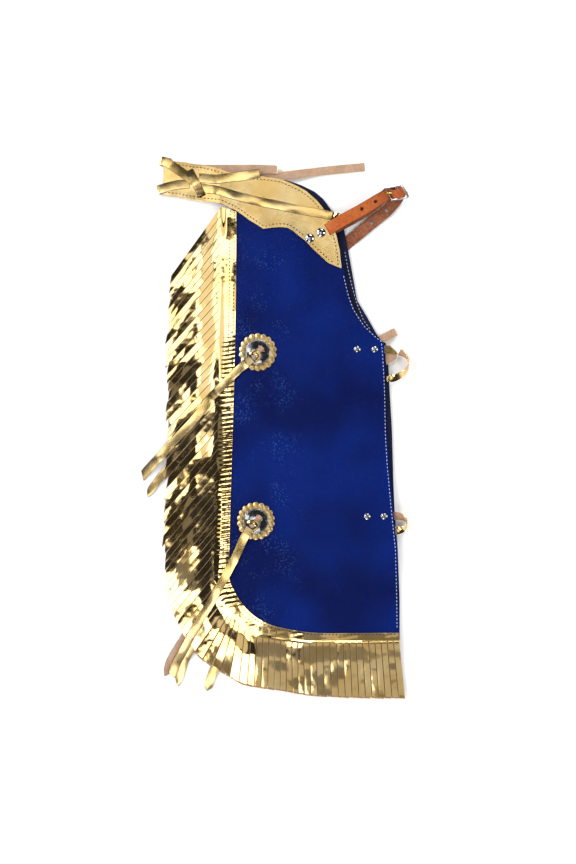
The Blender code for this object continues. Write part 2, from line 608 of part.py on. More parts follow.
def cut_holes(strap, places, radius):
    """Round holes down through a strap."""
    for number, (x, y) in enumerate(places, 1):
        bpy.ops.mesh.primitive_cylinder_add(
            vertices=10, radius=radius * MM, depth=0.06,
            location=((x - MIDDLE[0]) * MM, (y - MIDDLE[1]) * MM, 0.01))
        cutter = bpy.context.object
        cutter.name = f"cutter_{strap.name}_{number}"
        cutter.hide_render = True
        cutter.display_type = "WIRE"
        hole = strap.modifiers.new(f"hole_{number}", "BOOLEAN")
        hole.operation = "DIFFERENCE"
        hole.object = cutter


def make_front_strap(tan, brown, steel, brass):
    length, width = np.linalg.norm(BUCKLE_ALONG), np.linalg.norm(BUCKLE_ACROSS)
    angle, tilt = buckle_angles()
    under = 0.5 * BUCKLE_WALL + 0.5 * STRAP_WALL + CLEAR
    middle = 0.5 * width

    def through(along, above, across=middle, wall=STRAP_WALL):
        return (*in_buckle(along, across, above), angle, tilt, wall)

    def turned(ahead, aside, above, turn):
        """A section turned in the plane of the buckle, moved ahead of the fold square to the
        fold line, and aside along it."""
        t, fold_line = radians(turn), radians(0.5 * FOLD_TURN)
        b = -BUCKLE_ACROSS / width * cos(t) - BUCKLE_ALONG / length * sin(t)
        at = in_buckle(FOLD_AT + ahead * cos(fold_line) - aside * sin(fold_line),
                       middle - ahead * sin(fold_line) - aside * cos(fold_line), above)
        return (*at, np.degrees(np.arctan2(b[1], b[0])), np.degrees(np.arcsin(b[2])), STRAP_WALL,
                1.0 / cos(abs(radians(turn) - fold_line) - fold_line))

    inside = [through(0.5, -under), through(4.4, -under), through(0.5 * length - 2.2, under),
              through(0.5 * length + 2.2, under)]
    fold = [turned(FOLD_RADIUS * sin(t), 0.0, -under - FOLD_RADIUS * (1.0 - cos(t)),
                   0.5 * FOLD_TURN) for t in np.radians([0, 45, 90, 135, 180])]
    slope = radians(0.5 * FOLD_TURN)
    fold.append(turned(-6.0 * cos(slope), -6.0 * sin(slope), -under - 2 * FOLD_RADIUS, FOLD_TURN))
    plain = [(*row, 1.0) for row in STRAP_OUT + inside]
    rows = curve_through(plain + fold + [(*row, 1.0) for row in STRAP_BACK], 2)
    billet = ribbon("billet", rows, STRAP_WIDTH, tan)
    cut_holes(billet, STRAP_HOLES, 0.5 * STRAP_HOLE)

    beneath = []
    for number, aside, below in CHAPE_ASIDE:
        row = np.array(STRAP_OUT[number], float)
        ahead = np.array(STRAP_OUT[number])[:3] - np.array(STRAP_OUT[number - 1])[:3]
        side = across_vector(row[3], row[4])
        normal = np.cross(ahead / np.linalg.norm(ahead), side)
        row[:3] -= side * aside + normal * below
        beneath.append(tuple(row))
    thin = 0.7 * STRAP_WALL
    chape_rows = CHAPE + beneath + [through(0.5, -under - 2.6, middle - 0.6, thin),
                                    through(5.5, -under - 2.3, middle - 1.0, thin),
                                    through(0.5 * length - 2.4, -1.6, middle - 1.0, thin)]
    ribbon("chape", curve_through(chape_rows, 2), STRAP_WIDTH, brown)

    make_buckle_frame(length, width, steel)
    half = 0.5 * TONGUE_WIDTH
    lift = 0.5 * BUCKLE_WALL + SEAM
    place = middle - TONGUE_ASIDE
    tip, root = TONGUE_ENDS
    outline = [(root, -half), (root, half), (1.0, TONGUE_TAPER * half), (tip, 0.0),
               (1.0, -TONGUE_TAPER * half)]
    low = [in_buckle(x, place + y, lift) for x, y in outline]
    high = [in_buckle(x, place + y, lift + TONGUE_WALL) for x, y in outline]
    prism("buckle_tongue", low, high, brass)


def prism(name, low, high, material):
    """A solid between two outlines that match point for point."""
    count = len(low)
    faces = [tuple(range(count)), tuple(range(2 * count - 1, count - 1, -1))]
    for k in range(count):
        after = (k + 1) % count
        faces.append((after, k, count + k, count + after))
    return add_mesh(name, list(low) + list(high), faces, material)


def make_buckle_frame(length, width, steel):
    """A rectangular frame with a middle bar, in the tilted plane, with softened edges."""
    bar = BUCKLE_BAR
    lines = [0.0, bar, 0.5 * length - 0.4 * bar, 0.5 * length + 0.4 * bar, length - bar, length]
    sides = [0.0, bar, width - bar, width]
    points, faces = [], []
    grid = {}
    for i, along in enumerate(lines):
        for j, across in enumerate(sides):
            for level, above in enumerate((-0.5 * BUCKLE_WALL, 0.5 * BUCKLE_WALL)):
                grid[i, j, level] = len(points)
                points.append(in_buckle(along, across, above))
    solid = {(i, j) for i in range(5) for j in range(3) if not (j == 1 and i in (1, 3))}
    for i, j in sorted(solid):
        corners = ((i, j), (i + 1, j), (i + 1, j + 1), (i, j + 1))
        faces.append(tuple(grid[c[0], c[1], 0] for c in corners))
        faces.append(tuple(grid[c[0], c[1], 1] for c in reversed(corners)))
        for (one, two), beyond in zip(zip(corners, corners[1:] + corners[:1]),
                                      ((i, j - 1), (i + 1, j), (i, j + 1), (i - 1, j))):
            if beyond not in solid:
                faces.append((grid[(*one, 0)], grid[(*two, 0)], grid[(*two, 1)],
                              grid[(*one, 1)]))
    frame = add_mesh("buckle_frame", points, faces, steel)
    soft = frame.modifiers.new("soft edges", "BEVEL")
    soft.width = 0.5 * MM
    soft.segments = 1
    soft.limit_method = "ANGLE"
    return frame


def make_leg_straps(gold, flesh):
    ribbon("leg_strap_upper_tab", laid_rows(TAB, LEG_STRAP_WALL + 0.6, 1), 13.0, flesh)
    low = LOWER_TOP + SEAM
    mid = low + LEG_STRAP_WALL + SEAM
    layers = [(FOLD_TOP, mid, mid + LEG_STRAP_WALL), (FOLD_UNDER, low, low + LEG_STRAP_WALL),
              (FOLD_EDGE, low, mid + LEG_STRAP_WALL)]
    parts = []
    for number, (outline, bottom, top) in enumerate(layers):
        name = "leg_strap_upper_fold" if number == 0 else f"cutter_fold_{number}"
        parts.append(prism(name, [(x, y, bottom) for x, y in outline],
                           [(x, y, top) for x, y in outline], gold))
    for part in parts[1:]:
        part.hide_render = True
        part.display_type = "WIRE"
        join = parts[0].modifiers.new("fold", "BOOLEAN")
        join.operation = "UNION"
        join.object = part
    ribbon("leg_strap_upper_loop", curve_through(UPPER_LOOP, 2), LEG_STRAP_WIDTH, gold)
    lower = np.concatenate([LOWER_LOOP_START, curve_through(LOWER_LOOP, 2), LOWER_LOOP_END])
    ribbon("leg_strap_lower_loop", lower, LEG_STRAP_WIDTH, gold)


def make_rosette(name, centre, material):
    """A leather disc with a scalloped edge, lying on the leg."""
    cx, cy = centre
    count = SCALLOPS * 4
    points = []
    for level in (0.0, ROSETTE_WALL):
        points.append((cx, cy, leg_top(cx, cy) + SEAM + level))
        for k in range(count):
            angle = 2.0 * pi * k / count
            radius = ROSETTE_RADIUS - SCALLOP_DEPTH * (1.0 - abs(sin(0.5 * SCALLOPS * angle)))
            x, y = cx + radius * cos(angle), cy + radius * sin(angle)
            points.append((x, y, leg_top(x, y) + SEAM + level))
    top = count + 1
    faces = []
    for k in range(count):
        after = (k + 1) % count
        faces.append((0, 1 + after, 1 + k))
        faces.append((top, top + 1 + k, top + 1 + after))
        faces.append((1 + k, 1 + after, top + 1 + after, top + 1 + k))
    return add_mesh(name, points, faces, material)


def make_conchos(gold, steel, flesh):
    for name, (x, y) in CONCHOS.items():
        make_rosette("rosette_" + name, (x, y), gold)
        base = concho_base(x, y)
        outer = [(CONCHO_RADIUS * r, CONCHO_HEIGHT * (1 - r * r)) for r in CONCHO_RINGS]
        inner = [(CONCHO_RADIUS * r - 0.4 * (r > 0), CONCHO_HEIGHT * (1 - r * r) - CONCHO_WALL)
                 for r in CONCHO_RINGS[2::-1]]
        profile = outer + [(CONCHO_RADIUS, CONCHO_RIM), (CONCHO_RADIUS, 0.0),
                           (CONCHO_RADIUS - CONCHO_FOOT, 0.0)] + inner
        shell = lathe("concho_" + name, (x, y), base, profile, 24, steel)
        slots = []
        for side in (-1, 1):
            along = Vector((cos(radians(45)), sin(radians(45)), 0.0)) * side
            bpy.ops.mesh.primitive_cube_add(size=1.0)
            cutter = bpy.context.object
            cutter.name = f"cutter_concho_{name}_{side + 1}"
            cutter.scale = (CONCHO_SLOT[0] * MM, CONCHO_SLOT[1] * MM, 0.02)
            cutter.rotation_euler = (0.0, 0.0, radians(45))
            cutter.location = ((x - MIDDLE[0] + along.x * CONCHO_SLOT_OFFSET) * MM,
                               (y - MIDDLE[1] + along.y * CONCHO_SLOT_OFFSET) * MM, base * MM)
            cutter.hide_render = True
            cutter.display_type = "WIRE"
            slots.append(cutter)
        for number, cutter in enumerate(slots):
            cut = shell.modifiers.new(f"slot_{number}", "BOOLEAN")
            cut.operation = "DIFFERENCE"
            cut.object = cutter
        rows = [(x + dx, y + dy, base + dz + 0.5 * CONCHO_KNOT_WALL, -45.0, 0.0, CONCHO_KNOT_WALL)
                for dx, dy, dz in CONCHO_KNOT]
        ribbon("concho_knot_" + name, curve_through(rows, 2), CONCHO_KNOT_WIDTH, flesh)


def make_strings(gold, flesh):
    ribbon("string_1", laid_rows(STRING_A, LACE_WALL), 14.0, gold)
    ribbon("string_2", laid_rows(STRING_C, LACE_WALL), 14.0, gold)
    ribbon("string_3", laid_rows(STRING_B, 1.2), 12.5, gold, 0.5)
    ribbon("string_4", laid_rows(STRING_D, 1.2), 12.5, flesh, 0.5)
    ribbon("string_5", laid_rows(STRING_E, 1.2), 12.5, gold, 0.3)
    ribbon("string_6", laid_rows(STRING_F, 1.2), 14.5, gold, 0.1)


def main():
    clear_scene()
    blue = finish("blue_chap_leather", (0.006, 0.018, 0.16), 0.45, 0.0)
    gold = finish("gold_foil_leather", (0.60, 0.42, 0.15), 0.22, 1.0)
    flesh = finish("flesh_side", (0.55, 0.36, 0.24), 0.85, 0.0)
    tan = finish("tan_strap_leather", (0.56, 0.16, 0.04), 0.45, 0.0)
    brown = finish("brown_strap_leather", (0.20, 0.07, 0.03), 0.6, 0.0)
    steel = finish("nickel_plate", (0.75, 0.75, 0.76), 0.18, 1.0)
    brass = finish("brass", (0.80, 0.55, 0.20), 0.25, 1.0)
    make_legs(blue)
    make_yokes(gold)
    make_belts(gold)
    make_all_fringe(gold, flesh)
    make_laces(gold, flesh)
    make_fasteners(steel)
    make_front_strap(tan, brown, steel, brass)
    make_leg_straps(gold, flesh)
    make_conchos(gold, steel, flesh)
    make_strings(gold, flesh)


main()
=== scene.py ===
# %% [markdown]
# # Fringed leather chaps, laid flat
# The pair is folded in half at its laced centre back, so one leg lies on the other. Blue pebbled
# chap leather is trimmed with mirror-gold foil leather: yokes at the hip, a half belt for each leg,
# and a long fringe round the back edge and the hem. A buckled strap joins the front, two scalloped
# rosettes carry silver conchos, and long gold strings hang from them.
#
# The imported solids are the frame. Every soft piece is built again here at the same place, finer,
# with its grain, stitches and crinkles, and stands for the solid it covers.

# %% Load the frame
from math import cos, pi, radians, sin

import bpy
import numpy as np
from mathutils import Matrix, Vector


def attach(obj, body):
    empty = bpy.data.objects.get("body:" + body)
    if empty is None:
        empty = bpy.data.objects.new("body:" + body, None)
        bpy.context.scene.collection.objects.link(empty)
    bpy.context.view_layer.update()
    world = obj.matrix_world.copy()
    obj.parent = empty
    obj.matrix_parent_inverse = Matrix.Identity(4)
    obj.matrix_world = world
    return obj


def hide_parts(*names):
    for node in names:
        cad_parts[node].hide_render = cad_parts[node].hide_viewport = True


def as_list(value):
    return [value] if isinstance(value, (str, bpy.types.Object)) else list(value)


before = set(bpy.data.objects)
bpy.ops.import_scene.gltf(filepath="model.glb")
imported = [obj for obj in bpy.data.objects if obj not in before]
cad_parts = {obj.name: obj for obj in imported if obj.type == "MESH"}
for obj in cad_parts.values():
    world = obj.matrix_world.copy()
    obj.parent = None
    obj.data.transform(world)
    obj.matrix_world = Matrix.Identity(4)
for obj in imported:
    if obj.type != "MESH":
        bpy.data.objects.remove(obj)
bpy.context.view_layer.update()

print("solids:", len(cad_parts))

# %% [markdown]
# ## Units and small tools
# The tables are in millimetres, measured on the laid-out pair; Blender works in metres. The origin
# is under the middle of the pair, so each point is shifted by MIDDLE before it is scaled.
# Two ways to make leather were open: a flat mesh with a Solidify modifier, or a mesh that is closed
# from the start. The second is used, because face, flesh side and cut edge get their own finish.

# %% Numbers to metres, hex to linear colour, nodes
MM = 0.001
MIDDLE = np.array([-0.8, -0.2, 0.0])


def linear(text):
    """sRGB hex to linear red, green, blue, alpha: ((c + 0.055) / 1.055) to the power 2.4 above
    0.04045, and c / 12.92 below it."""
    c = np.array([int(text[i:i + 2], 16) for i in (1, 3, 5)]) / 255.0
    return (*np.where(c > 0.04045, ((c + 0.055) / 1.055) ** 2.4, c / 12.92), 1.0)


def add_node(tree, kind, settings=(), **links):
    """One node with its settings, and a link into each named or numbered input. A link is given
    as a socket, or as a node whose first output in use is meant."""
    node = tree.nodes.new(kind)
    for key, value in dict(settings).items():
        if isinstance(key, int) or key in node.inputs:
            node.inputs[key].default_value = value
        else:
            setattr(node, key, value)
    for key, source in links.items():
        place = int(key[1:]) if key[0] == "_" else key.replace("_", " ")
        if isinstance(source, bpy.types.Node):
            source = next(socket for socket in source.outputs if socket.enabled)
        tree.links.new(source, node.inputs[place])
    return node


def smooth_step(t):
    """3 t squared less 2 t cubed, with t kept between 0 and 1."""
    t = np.clip(t, 0.0, 1.0)
    return t * t * (3.0 - 2.0 * t)


def thread_curve(rows, steps):
    """Catmull-Rom curve through the rows: each span is the cubic whose slope at a row is half the
    step between its neighbours. All columns are carried along."""
    rows = np.asarray(rows, float)
    ends = np.concatenate([[2 * rows[0] - rows[1]], rows, [2 * rows[-1] - rows[-2]]])
    t = (np.arange(steps) / steps)[None, :, None]
    a, b, c, d = (ends[k:len(ends) - 3 + k, None, :] for k in range(4))
    spans = 0.5 * (2 * b + (c - a) * t + (2 * a - 5 * b + 4 * c - d) * t ** 2
                   + (3 * b - a - 3 * c + d) * t ** 3)
    return np.concatenate([spans.reshape(-1, rows.shape[1]), rows[-1:]])


def put_mesh(name, points, faces, finishes, slots=None, rim=0.0):
    """A smooth-shaded object from points in millimetres that rides on the pair's one body. slots
    gives each face's finish, rim the rounding of its cut edges, in the last of the finishes."""
    mesh = bpy.data.meshes.new(name)
    mesh.from_pydata(((np.asarray(points) - MIDDLE) * MM).tolist(), [], [tuple(f) for f in faces])
    for material in finishes:
        mesh.materials.append(material)
    if slots is not None:
        mesh.polygons.foreach_set("material_index", np.asarray(slots, np.int32))
    mesh.shade_smooth()
    mesh.set_sharp_from_angle(angle=radians(50))
    thing = bpy.data.objects.new(name, mesh)
    bpy.context.collection.objects.link(thing)
    if rim:
        edge = thing.modifiers.new("cut edge", "BEVEL")
        edge.width = rim * MM
        edge.segments = 2
        edge.limit_method = "ANGLE"
        edge.angle_limit = radians(50)
        edge.material = len(finishes) - 1
    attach(thing, "root")
    return thing


def close_leather(name, top, under, faces, face, flesh, rim=0.25, edge=None):
    """Closes a piece of leather: the face, the flesh side with its corners turned round, and a
    wall below each edge that only one face has, in the finish of the cut edge."""
    used, faces = np.unique(faces, return_inverse=True)
    top, under, faces = top[used], under[used], faces.reshape(-1, 4)
    count = len(top)
    start, end = faces.ravel(), np.roll(faces, -1, axis=1).ravel()
    alone = ~np.isin(start * count + end, end * count + start)
    a, b = start[alone], end[alone]
    walls = np.stack([a, a + count, b + count, b], axis=1)
    every = np.concatenate([faces, faces[:, ::-1] + count, walls])
    slots = np.repeat([0, 1, 2], [len(faces), len(faces), len(walls)])
    return put_mesh(name, np.concatenate([top, under]), every, [face, flesh, edge or flesh],
                    slots, rim)


def grid_faces(rows, columns):
    """Quads of a grid whose rows run up and columns run right, counter-clockwise from above."""
    at = np.arange(rows * columns).reshape(rows, columns)
    return np.stack([at[:-1, :-1], at[:-1, 1:], at[1:, 1:], at[1:, :-1]], axis=-1).reshape(-1, 4)


print("tools ready")

# %% [markdown]
# ## Leather finishes
# Chap leather is thick cowhide, pigmented blue and embossed with a pebble grain. The grain is made
# with Voronoi cells, each one pebble that is high in its middle. A real pebble is about 1.5 mm
# across; it is drawn at 3.2 mm, because a pixel is 1.6 mm. On the laced side the tops of the
# pebbles are painted paler in patches: a painted sheen, standing in for the lamps' glint on the
# grain.
# Foil leather is a thin split with a metallised film pressed on, so its face is a soft mirror: a
# metal shader of low roughness. What the eye reads there is the room, so the slopes of the leather
# matter more than its colour: wide, shallow waves move whole patches of light and dark.
# The flesh side is the napped inside of a hide, pale tan and quite matt.

# %% Blue chap leather
def blank_material(name):
    """A material with an empty tree, to which the nodes are added one by one."""
    material = bpy.data.materials.new(name)
    material.use_nodes = True
    material.node_tree.nodes.clear()
    return material, material.node_tree


def per_mm(size):
    """Scale of a texture on Object coordinates whose features are that many millimetres across."""
    return 1000.0 / size


def pebbled_cowhide():
    """Dark blue pigment over embossed pebbles, with a painted sheen: the pebbles' tops are painted
    paler in patches, on the laced side only, the half nearer to -X."""
    material, tree = blank_material("cowhide, pigmented blue, pebble embossed")
    place = add_node(tree, "ShaderNodeTexCoord").outputs["Object"]
    pebble = add_node(tree, "ShaderNodeTexVoronoi",
                      {"feature": "SMOOTH_F1", "Scale": per_mm(3.2), "Smoothness": 0.4},
                      Vector=place)
    top = add_node(tree, "ShaderNodeMapRange", {"From Min": 0.5, "From Max": 0.1}, Value=pebble)
    dye = add_node(tree, "ShaderNodeTexNoise", {"Scale": per_mm(160), "Detail": 2.0},
                   Vector=place)
    dye_range = add_node(tree, "ShaderNodeMapRange", {"From Min": 0.4, "From Max": 0.62},
                         Value=dye)
    body = add_node(tree, "ShaderNodeMix", {"data_type": "RGBA", 6: linear("#000e46"),
                                            7: linear("#001a62")}, _0=dye_range)
    # Painted sheen: noise patches, kept to the laced side, where the pebbles' tops are painted pale
    # blue
    sheen_patches = add_node(tree, "ShaderNodeTexNoise", {"Scale": per_mm(55), "Detail": 3.0},
                       Vector=place)
    sheen_patch_range = add_node(tree, "ShaderNodeMapRange", {"From Min": 0.42, "From Max": 0.6},
                             Value=sheen_patches)
    along_x = add_node(tree, "ShaderNodeSeparateXYZ", Vector=place)
    lace_side = add_node(tree, "ShaderNodeMapRange", {"From Min": 0.09, "From Max": 0.01},
                         Value=along_x)
    sheen_on_lace_side = add_node(tree, "ShaderNodeMath", {"operation": "MULTIPLY"}, _0=sheen_patch_range,
                      _1=lace_side)
    painted_sheen = add_node(tree, "ShaderNodeMath", {"operation": "MULTIPLY"}, _0=top, _1=sheen_on_lace_side)
    painted_sheen_range = add_node(tree, "ShaderNodeMapRange", {"From Min": 0.3, "To Max": 0.5},
                          Value=painted_sheen)
    # The pale blue of the painted sheen, mixed over the body colour on the pebbles' tops
    colour = add_node(tree, "ShaderNodeMix", {"data_type": "RGBA", 7: linear("#3f66b4")},
                      _0=painted_sheen_range, _6=body)
    grain = add_node(tree, "ShaderNodeBump", {"Strength": 1.0, "Distance": 0.5 * MM}, Height=top)
    shader = add_node(tree, "ShaderNodeBsdfPrincipled",
                      {"Roughness": 0.4, "Specular IOR Level": 0.1},
                      Base_Color=colour, Normal=grain)
    add_node(tree, "ShaderNodeOutputMaterial", Surface=shader)
    return material


blue = pebbled_cowhide()
print("finish:", blue.name)

# %% Gold foil leather
def gold_foil(name, roughness, wave, wave_height, wrinkle, wrinkle_height, grain_height):
    """Metallised film on split leather. wave and wrinkle are the sizes in millimetres of its wide
    and its narrow undulations, each with a height; grain_height is that of the hide's own grain,
    3 mm across, which shows through the film."""
    material, tree = blank_material(name)
    place = add_node(tree, "ShaderNodeTexCoord").outputs["Object"]
    tone = add_node(tree, "ShaderNodeTexNoise", {"Scale": per_mm(45), "Detail": 3.0},
                    Vector=place)
    tone_range = add_node(tree, "ShaderNodeMapRange", {"From Min": 0.35, "From Max": 0.65},
                          Value=tone)
    colour = add_node(tree, "ShaderNodeMix", {"data_type": "RGBA", 6: linear("#e9c47c"),
                                              7: linear("#f3d69a")}, _0=tone_range)
    rub = add_node(tree, "ShaderNodeTexNoise", {"Scale": per_mm(14), "Detail": 2.0}, Vector=place)
    gloss = add_node(tree, "ShaderNodeMapRange",
                     {"From Min": 0.3, "From Max": 0.7, "To Min": roughness,
                      "To Max": roughness + 0.04}, Value=rub)
    wide = add_node(tree, "ShaderNodeTexNoise", {"Scale": per_mm(wave), "Detail": 0.0},
                    Vector=place)
    wide_bump = add_node(tree, "ShaderNodeBump", {"Strength": 1.0, "Distance": wave_height * MM},
                         Height=wide)
    narrow = add_node(tree, "ShaderNodeTexNoise", {"Scale": per_mm(wrinkle), "Detail": 1.0},
                      Vector=place)
    narrow_bump = add_node(tree, "ShaderNodeBump",
                           {"Strength": 1.0, "Distance": wrinkle_height * MM},
                           Height=narrow, Normal=wide_bump)
    grain = add_node(tree, "ShaderNodeTexNoise", {"Scale": per_mm(3.0), "Detail": 1.0},
                     Vector=place)
    grain_bump = add_node(tree, "ShaderNodeBump",
                          {"Strength": 1.0, "Distance": grain_height * MM},
                          Height=grain, Normal=narrow_bump)
    shader = add_node(tree, "ShaderNodeBsdfPrincipled", {"Metallic": 1.0}, Base_Color=colour,
                      Roughness=gloss, Normal=grain_bump)
    add_node(tree, "ShaderNodeOutputMaterial", Surface=shader)
    return material


yoke_gold = gold_foil("foil leather, sewn flat", 0.24, 90, 1.8, 34, 0.2, 0.008)
belt_gold = gold_foil("foil leather, pulled by its lacing", 0.18, 70, 2.2, 20, 0.25, 0.015)
strand_gold = gold_foil("foil leather, slit into fringe", 0.05, 60, 2.4, 17, 0.3, 0.006)
lace_gold = gold_foil("foil leather, cut into laces", 0.16, 44, 2.4, 18, 0.2, 0.008)
rosette_gold = gold_foil("foil leather, stamped into petals", 0.3, 30, 0.4, 8, 0.08, 0.02)
print("finishes:", yoke_gold.name, "|", strand_gold.name, "|", lace_gold.name)

# %% Flesh sides, cut edges and strap leather
def hide(name, low, high, roughness, blotch, grain, grain_height):
    """Leather of two tones mixed by blotches and by the grain, each that many millimetres wide.
    The eye reads nap where the grain is high and the roughness near 1, and a burnished strap
    where both are low."""
    material, tree = blank_material(name)
    place = add_node(tree, "ShaderNodeTexCoord").outputs["Object"]
    wide = add_node(tree, "ShaderNodeTexNoise", {"Scale": per_mm(blotch), "Detail": 3.0},
                    Vector=place)
    fine = add_node(tree, "ShaderNodeTexNoise", {"Scale": per_mm(grain), "Detail": 3.0},
                    Vector=place)
    both = add_node(tree, "ShaderNodeMath", {"operation": "ADD"}, _0=wide, _1=fine)
    mixed = add_node(tree, "ShaderNodeMapRange", {"From Min": 0.7, "From Max": 1.3}, Value=both)
    colour = add_node(tree, "ShaderNodeMix", {"data_type": "RGBA", 6: linear(low),
                                              7: linear(high)}, _0=mixed)
    bump = add_node(tree, "ShaderNodeBump", {"Strength": 1.0, "Distance": grain_height * MM},
                    Height=fine)
    shader = add_node(tree, "ShaderNodeBsdfPrincipled",
                      {"Roughness": roughness, "Specular IOR Level": 0.25},
                      Base_Color=colour, Normal=bump)
    add_node(tree, "ShaderNodeOutputMaterial", Surface=shader)
    return material


natural_flesh = hide("flesh side, natural split", "#98785f", "#b89a82", 0.9, 30, 2.6, 0.3)
brown_flesh = hide("flesh side, oiled brown", "#5a2c17", "#9a5f42", 0.75, 34, 3.0, 0.35)
blue_flesh = hide("flesh side, dyed navy", "#04081f", "#0b1238", 0.85, 30, 2.6, 0.2)
tan_leather = hide("strap leather, vegetable tanned and burnished", "#963f19", "#ba6836", 0.35,
                   26, 3.0, 0.15)
# Cut edges are dark brown, which draws thin dark lines along the laces, strings and straps.
cut_edge = hide("cut edge, dark brown", "#150d07", "#3a2412", 0.7, 20, 2.6, 0.1)
print("finishes:", natural_flesh.name, "|", brown_flesh.name, "|", tan_leather.name)

# %% Metal and thread
def plated(name, colour, roughness):
    """Plated metal, polished: a mirror whose gloss is broken by fine handling marks."""
    material, tree = blank_material(name)
    place = add_node(tree, "ShaderNodeTexCoord").outputs["Object"]
    marks = add_node(tree, "ShaderNodeTexNoise", {"Scale": per_mm(4), "Detail": 4.0},
                     Vector=place)
    gloss = add_node(tree, "ShaderNodeMapRange",
                     {"From Min": 0.3, "From Max": 0.7, "To Min": roughness,
                      "To Max": roughness + 0.12}, Value=marks)
    shader = add_node(tree, "ShaderNodeBsdfPrincipled",
                      {"Metallic": 1.0, "Base Color": linear(colour)}, Roughness=gloss)
    add_node(tree, "ShaderNodeOutputMaterial", Surface=shader)
    return material


def waxed_thread(name, colour):
    """Bonded thread, waxed: a soft sheen, with the twist of its plies as a fine bump."""
    material, tree = blank_material(name)
    place = add_node(tree, "ShaderNodeTexCoord").outputs["Object"]
    plies = add_node(tree, "ShaderNodeTexNoise", {"Scale": per_mm(0.8), "Detail": 1.0},
                     Vector=place)
    bump = add_node(tree, "ShaderNodeBump", {"Strength": 1.0, "Distance": 0.08 * MM},
                    Height=plies)
    shader = add_node(tree, "ShaderNodeBsdfPrincipled",
                      {"Roughness": 0.5, "Base Color": linear(colour)}, Normal=bump)
    add_node(tree, "ShaderNodeOutputMaterial", Surface=shader)
    return material


nickel = plated("nickel plate, polished", "#bcbcc0", 0.08)
worn_nickel = plated("nickel plate, tumbled", "#a0a0a4", 0.2)
brass = plated("brass, polished", "#e0b45c", 0.15)
white_thread = waxed_thread("waxed thread, white", "#a9b6e6")
dark_thread = waxed_thread("waxed thread, navy", "#06070c")
print("finishes:", nickel.name, "|", brass.name, "|", white_thread.name)

# %% [markdown]
# ## How high each layer lies
# The upper leg is not level: straps and laces between the legs lift it, and it falls to the lower
# leg between them. One function gives the height of its underside anywhere, and every piece that
# lies on it asks that function, so nothing hangs in the air or sinks in.

# %% Heights
LEG_WALL, GOLD_WALL, STRAND_WALL, LACE_WALL, STRAP_WALL = 1.6, 1.2, 1.1, 1.3, 2.0
SEAM, CLEAR = 0.35, 0.45
LOWER_LEG = GOLD_WALL + SEAM
LOWER_TOP = LOWER_LEG + LEG_WALL
LEG_REST = LOWER_TOP + SEAM
STRAP_ROOM = 3.1
WAVE_HEIGHT, WAVE_X, WAVE_Y = 1.2, 420.0, 380.0
DRAPE = np.array([(-360, 0.0), (-268, 0.0), (-187, 1.0), (-109, 1.0), (-36, 0.0), (-7, 0.0),
                  (73, 1.0), (440, 1.0)])
BELT_FALL = (-175.0, -105.0)


FOLDS = np.array([(-14, 306, -16, 222, 11, 1.5), (30, 300, 36, 205, 15, 1.6),
                  (-40, 285, -52, 208, 9, 1.0), (-50, 68, -20, 20, 13, 1.1),
                  (-58, -205, -22, -244, 12, 1.1), (96, 150, 60, 20, 26, 1.0),
                  (70, -60, 110, -250, 30, 1.0), (150, 60, 150, -80, 17, 0.7)], float)


def soft_folds(x, y):
    """Ridges along the lines of FOLDS: each is its height times exp of minus half the square of
    the distance from the line in its own widths, and dies away past the line's ends."""
    high = 0.0 * x
    for x0, y0, x1, y1, width, height in FOLDS:
        length = np.hypot(x1 - x0, y1 - y0)
        along = ((x - x0) * (x1 - x0) + (y - y0) * (y1 - y0)) / length ** 2
        aside = ((x - x0) * (y1 - y0) - (y - y0) * (x1 - x0)) / length
        past = np.maximum(np.maximum(-along, along - 1.0), 0.0) * length
        high = high + height * np.exp(-0.5 * (aside / width) ** 2 - 0.5 * (past / 20.0) ** 2)
    return high


def leg_under(x, y):
    """Resting height, plus eased steps between the rows of DRAPE, plus one long wave and the soft
    folds. Towards the laced back the leg sinks on to the fringe."""
    x, y = np.asarray(x, float), np.asarray(y, float)
    step = np.clip(np.searchsorted(DRAPE[:, 0], y) - 1, 0, len(DRAPE) - 2)
    part = (y - DRAPE[step, 0]) / (DRAPE[step + 1, 0] - DRAPE[step, 0])
    lift = DRAPE[step, 1] + (DRAPE[step + 1, 1] - DRAPE[step, 1]) * smooth_step(part)
    wave = 0.5 * WAVE_HEIGHT * (1.0 + np.sin(2.0 * pi * (x / WAVE_X + y / WAVE_Y)))
    belt = smooth_step((x - BELT_FALL[0]) / (BELT_FALL[1] - BELT_FALL[0]))
    sink = smooth_step((352.0 - y) / 60.0) * (1.0 - smooth_step((x + 90.0) / 70.0))
    return LEG_REST + (STRAP_ROOM * lift * (1.0 - 0.9 * sink) + wave + soft_folds(x, y)) * belt


def leg_top(x, y):
    return leg_under(x, y) + LEG_WALL


def gold_top(x, y):
    return leg_top(x, y) + SEAM + GOLD_WALL


def rosette_top(x, y):
    return leg_top(x, y) + SEAM + 1.4


STRAND_REST, STRAND_LIFT, STRAND_TWIST, LOWER_STRAND_REST = 3.4, 0.7, 0.2, 0.25
LEVELS = {
    "leg": lambda x, y: leg_top(x, y) + CLEAR,
    "gold": lambda x, y: gold_top(x, y) + CLEAR,
    "rosette": lambda x, y: rosette_top(x, y) + CLEAR,
    "dome": lambda x, y: rosette_top(x, y) + SEAM + CLEAR,
    "lower": lambda x, y: LOWER_TOP + SEAM + 0.0 * x,
    "fringe": lambda x, y: STRAND_REST + STRAND_LIFT + STRAND_TWIST + STRAND_WALL + SEAM + 0.0 * x,
    "under_fringe": lambda x, y: LOWER_STRAND_REST + STRAND_WALL + SEAM + 0.0 * x,
    "floor": lambda x, y: 0.3 + 0.0 * x,
}
print("upper leg lies between", round(float(leg_under(0, -20)), 1), "and",
      round(float(leg_under(0, 200)), 1), "mm")

# %% [markdown]
# ## Legs, yokes and half belts
# A maker cuts these from a pattern and they lie almost flat. Each is a grid between two edge
# curves: u runs along the edges and v across, and the height comes from the layer function.

